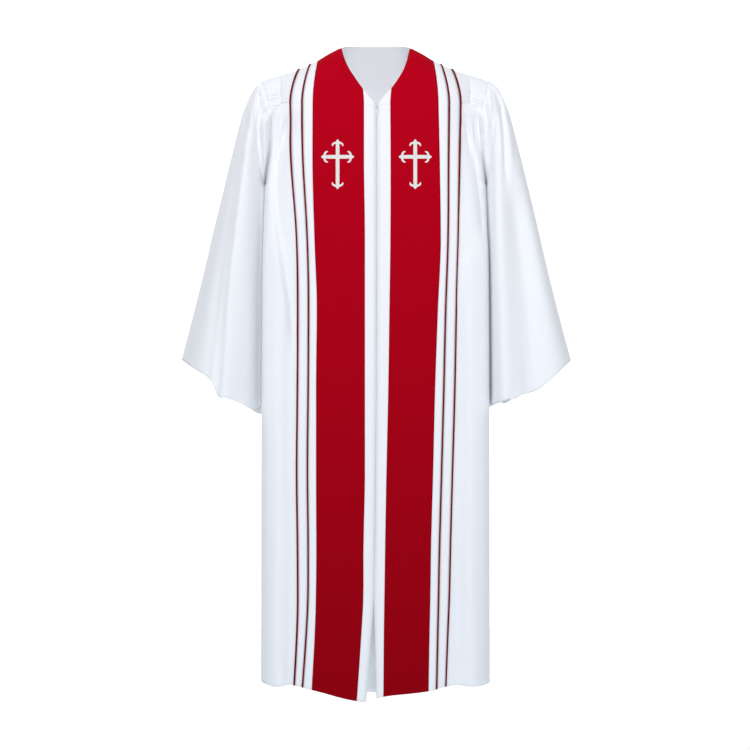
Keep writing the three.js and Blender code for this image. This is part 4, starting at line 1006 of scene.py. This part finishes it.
def build_cross(side, name):
    """All bars of the four arms, joined into one mesh."""
    middle = np.array(CROSS[side], float)
    vertices, quads, uvs, count = [], [], [], 0
    for du, dv, length in ARMS:
        turn = np.array([(du, dv), (-dv, du)])
        for path, half in arm_bars(length):
            grid = satin_bar(middle + path @ turn, half)
            vertices.append(grid.reshape(-1, 3))
            uvs.append(cloth_lengths(grid))
            quads.append(quad_faces(*grid.shape[:2]) + count)
            count += grid.shape[0] * grid.shape[1]
    quads = np.concatenate(quads)
    points = np.concatenate(vertices)
    a, b, c = points[quads[:, 0]], points[quads[:, 1]], points[quads[:, 2]]
    away = np.cross(b - a, c - a)[:, 1] > 0
    quads[away] = quads[away][:, ::-1]
    cross = make_mesh(f"{name}_cross_embroidery", points, quads, SATIN, np.concatenate(uvs))
    thicken(cross, SATIN_BACK)
    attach(cross, BODY_NAME)
    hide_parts(f"cross_{name}")
    print(name, "cross", count, "points")


for side, name in SIDES.items():
    build_cross(side, name)

# %% Zip tape behind the front edges
TAPE_WIDE, TAPE_STEP = 11, 5    # how far the tape and its inner columns reach past each edge
TAPE_THICK = 0.8
TAPE_BEHIND = 0.6           # and lies this far behind the cloth


def front_edges(z):
    """Distances of the right and the left front edge from the middle."""
    return [curve(LANES[side], "z", "edge", z) for side in SIDES]


def zip_tape():
    """A strip behind both edges, from the foot of the neck to the end of the zip."""
    z = np.linspace(FRONT_SEAM_Z - 6, VENT_Z, 160)
    right, left = front_edges(z)
    x = np.stack([-right - TAPE_WIDE, -right - TAPE_STEP, (left - right) / 2,
                  left + TAPE_STEP, left + TAPE_WIDE], axis=1)
    return body_point(x, z[:, None] + 0 * x, -1) + np.array([0, CLOTH + TAPE_BEHIND, 0])


sew("zip_tape_cloth", zip_tape(), "zip_tape", "zip_tape", thickness=TAPE_THICK)

# %% [markdown]
# ## Zip teeth and hem stitches
# The teeth are a nylon coil that shows between the front edges as a fine ribbed line. The hem is
# turned up and caught by a row of short stitches. A tooth and a stitch are both a small lozenge
# with three half lengths, and all the lozenges of a row are joined: at this size a rounder form
# would cost triangles that nobody can see.

# %% Lozenges, teeth and stitches
LOZENGE = np.array([(0, 1, 2), (1, 3, 2), (3, 4, 2), (4, 0, 2),
                    (1, 0, 5), (3, 1, 5), (4, 3, 5), (0, 4, 5)])
TOOTH = np.array([(0.75, 0, 0), (0, 0, 0.6), (0, -0.5, 0)])
TOOTH_PITCH = 1.5
TOOTH_ASIDE, TOOTH_PROUD = 0.6, 0.1     # from the meeting of the fronts, and from their faces
TOP_TOOTH_Z = -162
STITCH = (2.1, 0.8, 0.6)    # half lengths along the hem, across it and out of the cloth
STITCH_PITCH = 5.0
STITCH_PROUD = 0.2
HEM_ROW = -4                # the grid's row by the stitches


def lozenges(name, middles, ways, material):
    """Six points each: the middle plus and minus its three half lengths."""
    points = np.concatenate([middles[:, None] + ways, middles[:, None] - ways], axis=1)
    faces = LOZENGE + 6 * np.arange(len(middles))[:, None, None]
    piece = make_mesh(name, points.reshape(-1, 3), faces.reshape(-1, 3), material, smooth=False)
    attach(piece, BODY_NAME)
    print(name, len(middles))


def zip_teeth():
    """Two rows at the meeting of the fronts, one half a pitch below the other."""
    middles = []
    for row in (-1, 1):
        z = np.arange(TOP_TOOTH_Z, VENT_Z, -TOOTH_PITCH) - (row + 1) * TOOTH_PITCH / 4
        right, left = front_edges(z)
        x = (left - right) / 2 + TOOTH_ASIDE * row
        middles.append(body_point(x, z, -1) - np.array([0, TOOTH_PROUD, 0]))
    lozenges("zip_teeth", np.concatenate(middles), TOOTH, TEETH)


def hem_stitches(name, grid, out_ways):
    """A row of stitches one hem's depth above the edge of a panel."""
    def at_spots(at, known, values):
        return np.stack([np.interp(at, known, column) for column in values.T], axis=-1)

    line = np.array([at_spots(column[-1, 2] + HEM_FOLD, column[::-1, 2], column[::-1])
                     for column in grid.swapaxes(0, 1)])
    run = np.concatenate([[0], np.cumsum(np.linalg.norm(np.diff(line, axis=0), axis=1))])
    spots = np.arange(STITCH_PITCH, run[-1] - 2, STITCH_PITCH)
    middles, out = at_spots(spots, run, line), at_spots(spots, run, out_ways[HEM_ROW])
    ahead = unit(np.gradient(middles, axis=0))
    ways = np.stack([ahead, np.cross(out, ahead), out], axis=1) * np.array(STITCH)[:, None]
    lozenges(name, middles + STITCH_PROUD * out, ways, THREAD)


zip_teeth()
plain_part = slice(-SIDE_SPLITS - 1, None)      # the columns outside the piping
for side, (grid, ways) in fronts.items():
    hem_stitches(f"{SIDES[side]}_front_hem_stitches", grid[:, plain_part], ways[:, plain_part])
hem_stitches("back_hem_stitches", back, back_normals)

# %% [markdown]
# ## Slider and pull tab
# Both are small die castings under white enamel. Their solids have the right shape already and the
# pull tab swings on its own body, so they only get their finish.

# %% Enamel
for name in ("zip_slider", "zip_pull"):
    casting = bpy.data.objects[name]
    casting.data.materials.clear()
    casting.data.materials.append(ENAMEL)
    print(name, len(casting.data.polygons), "faces")
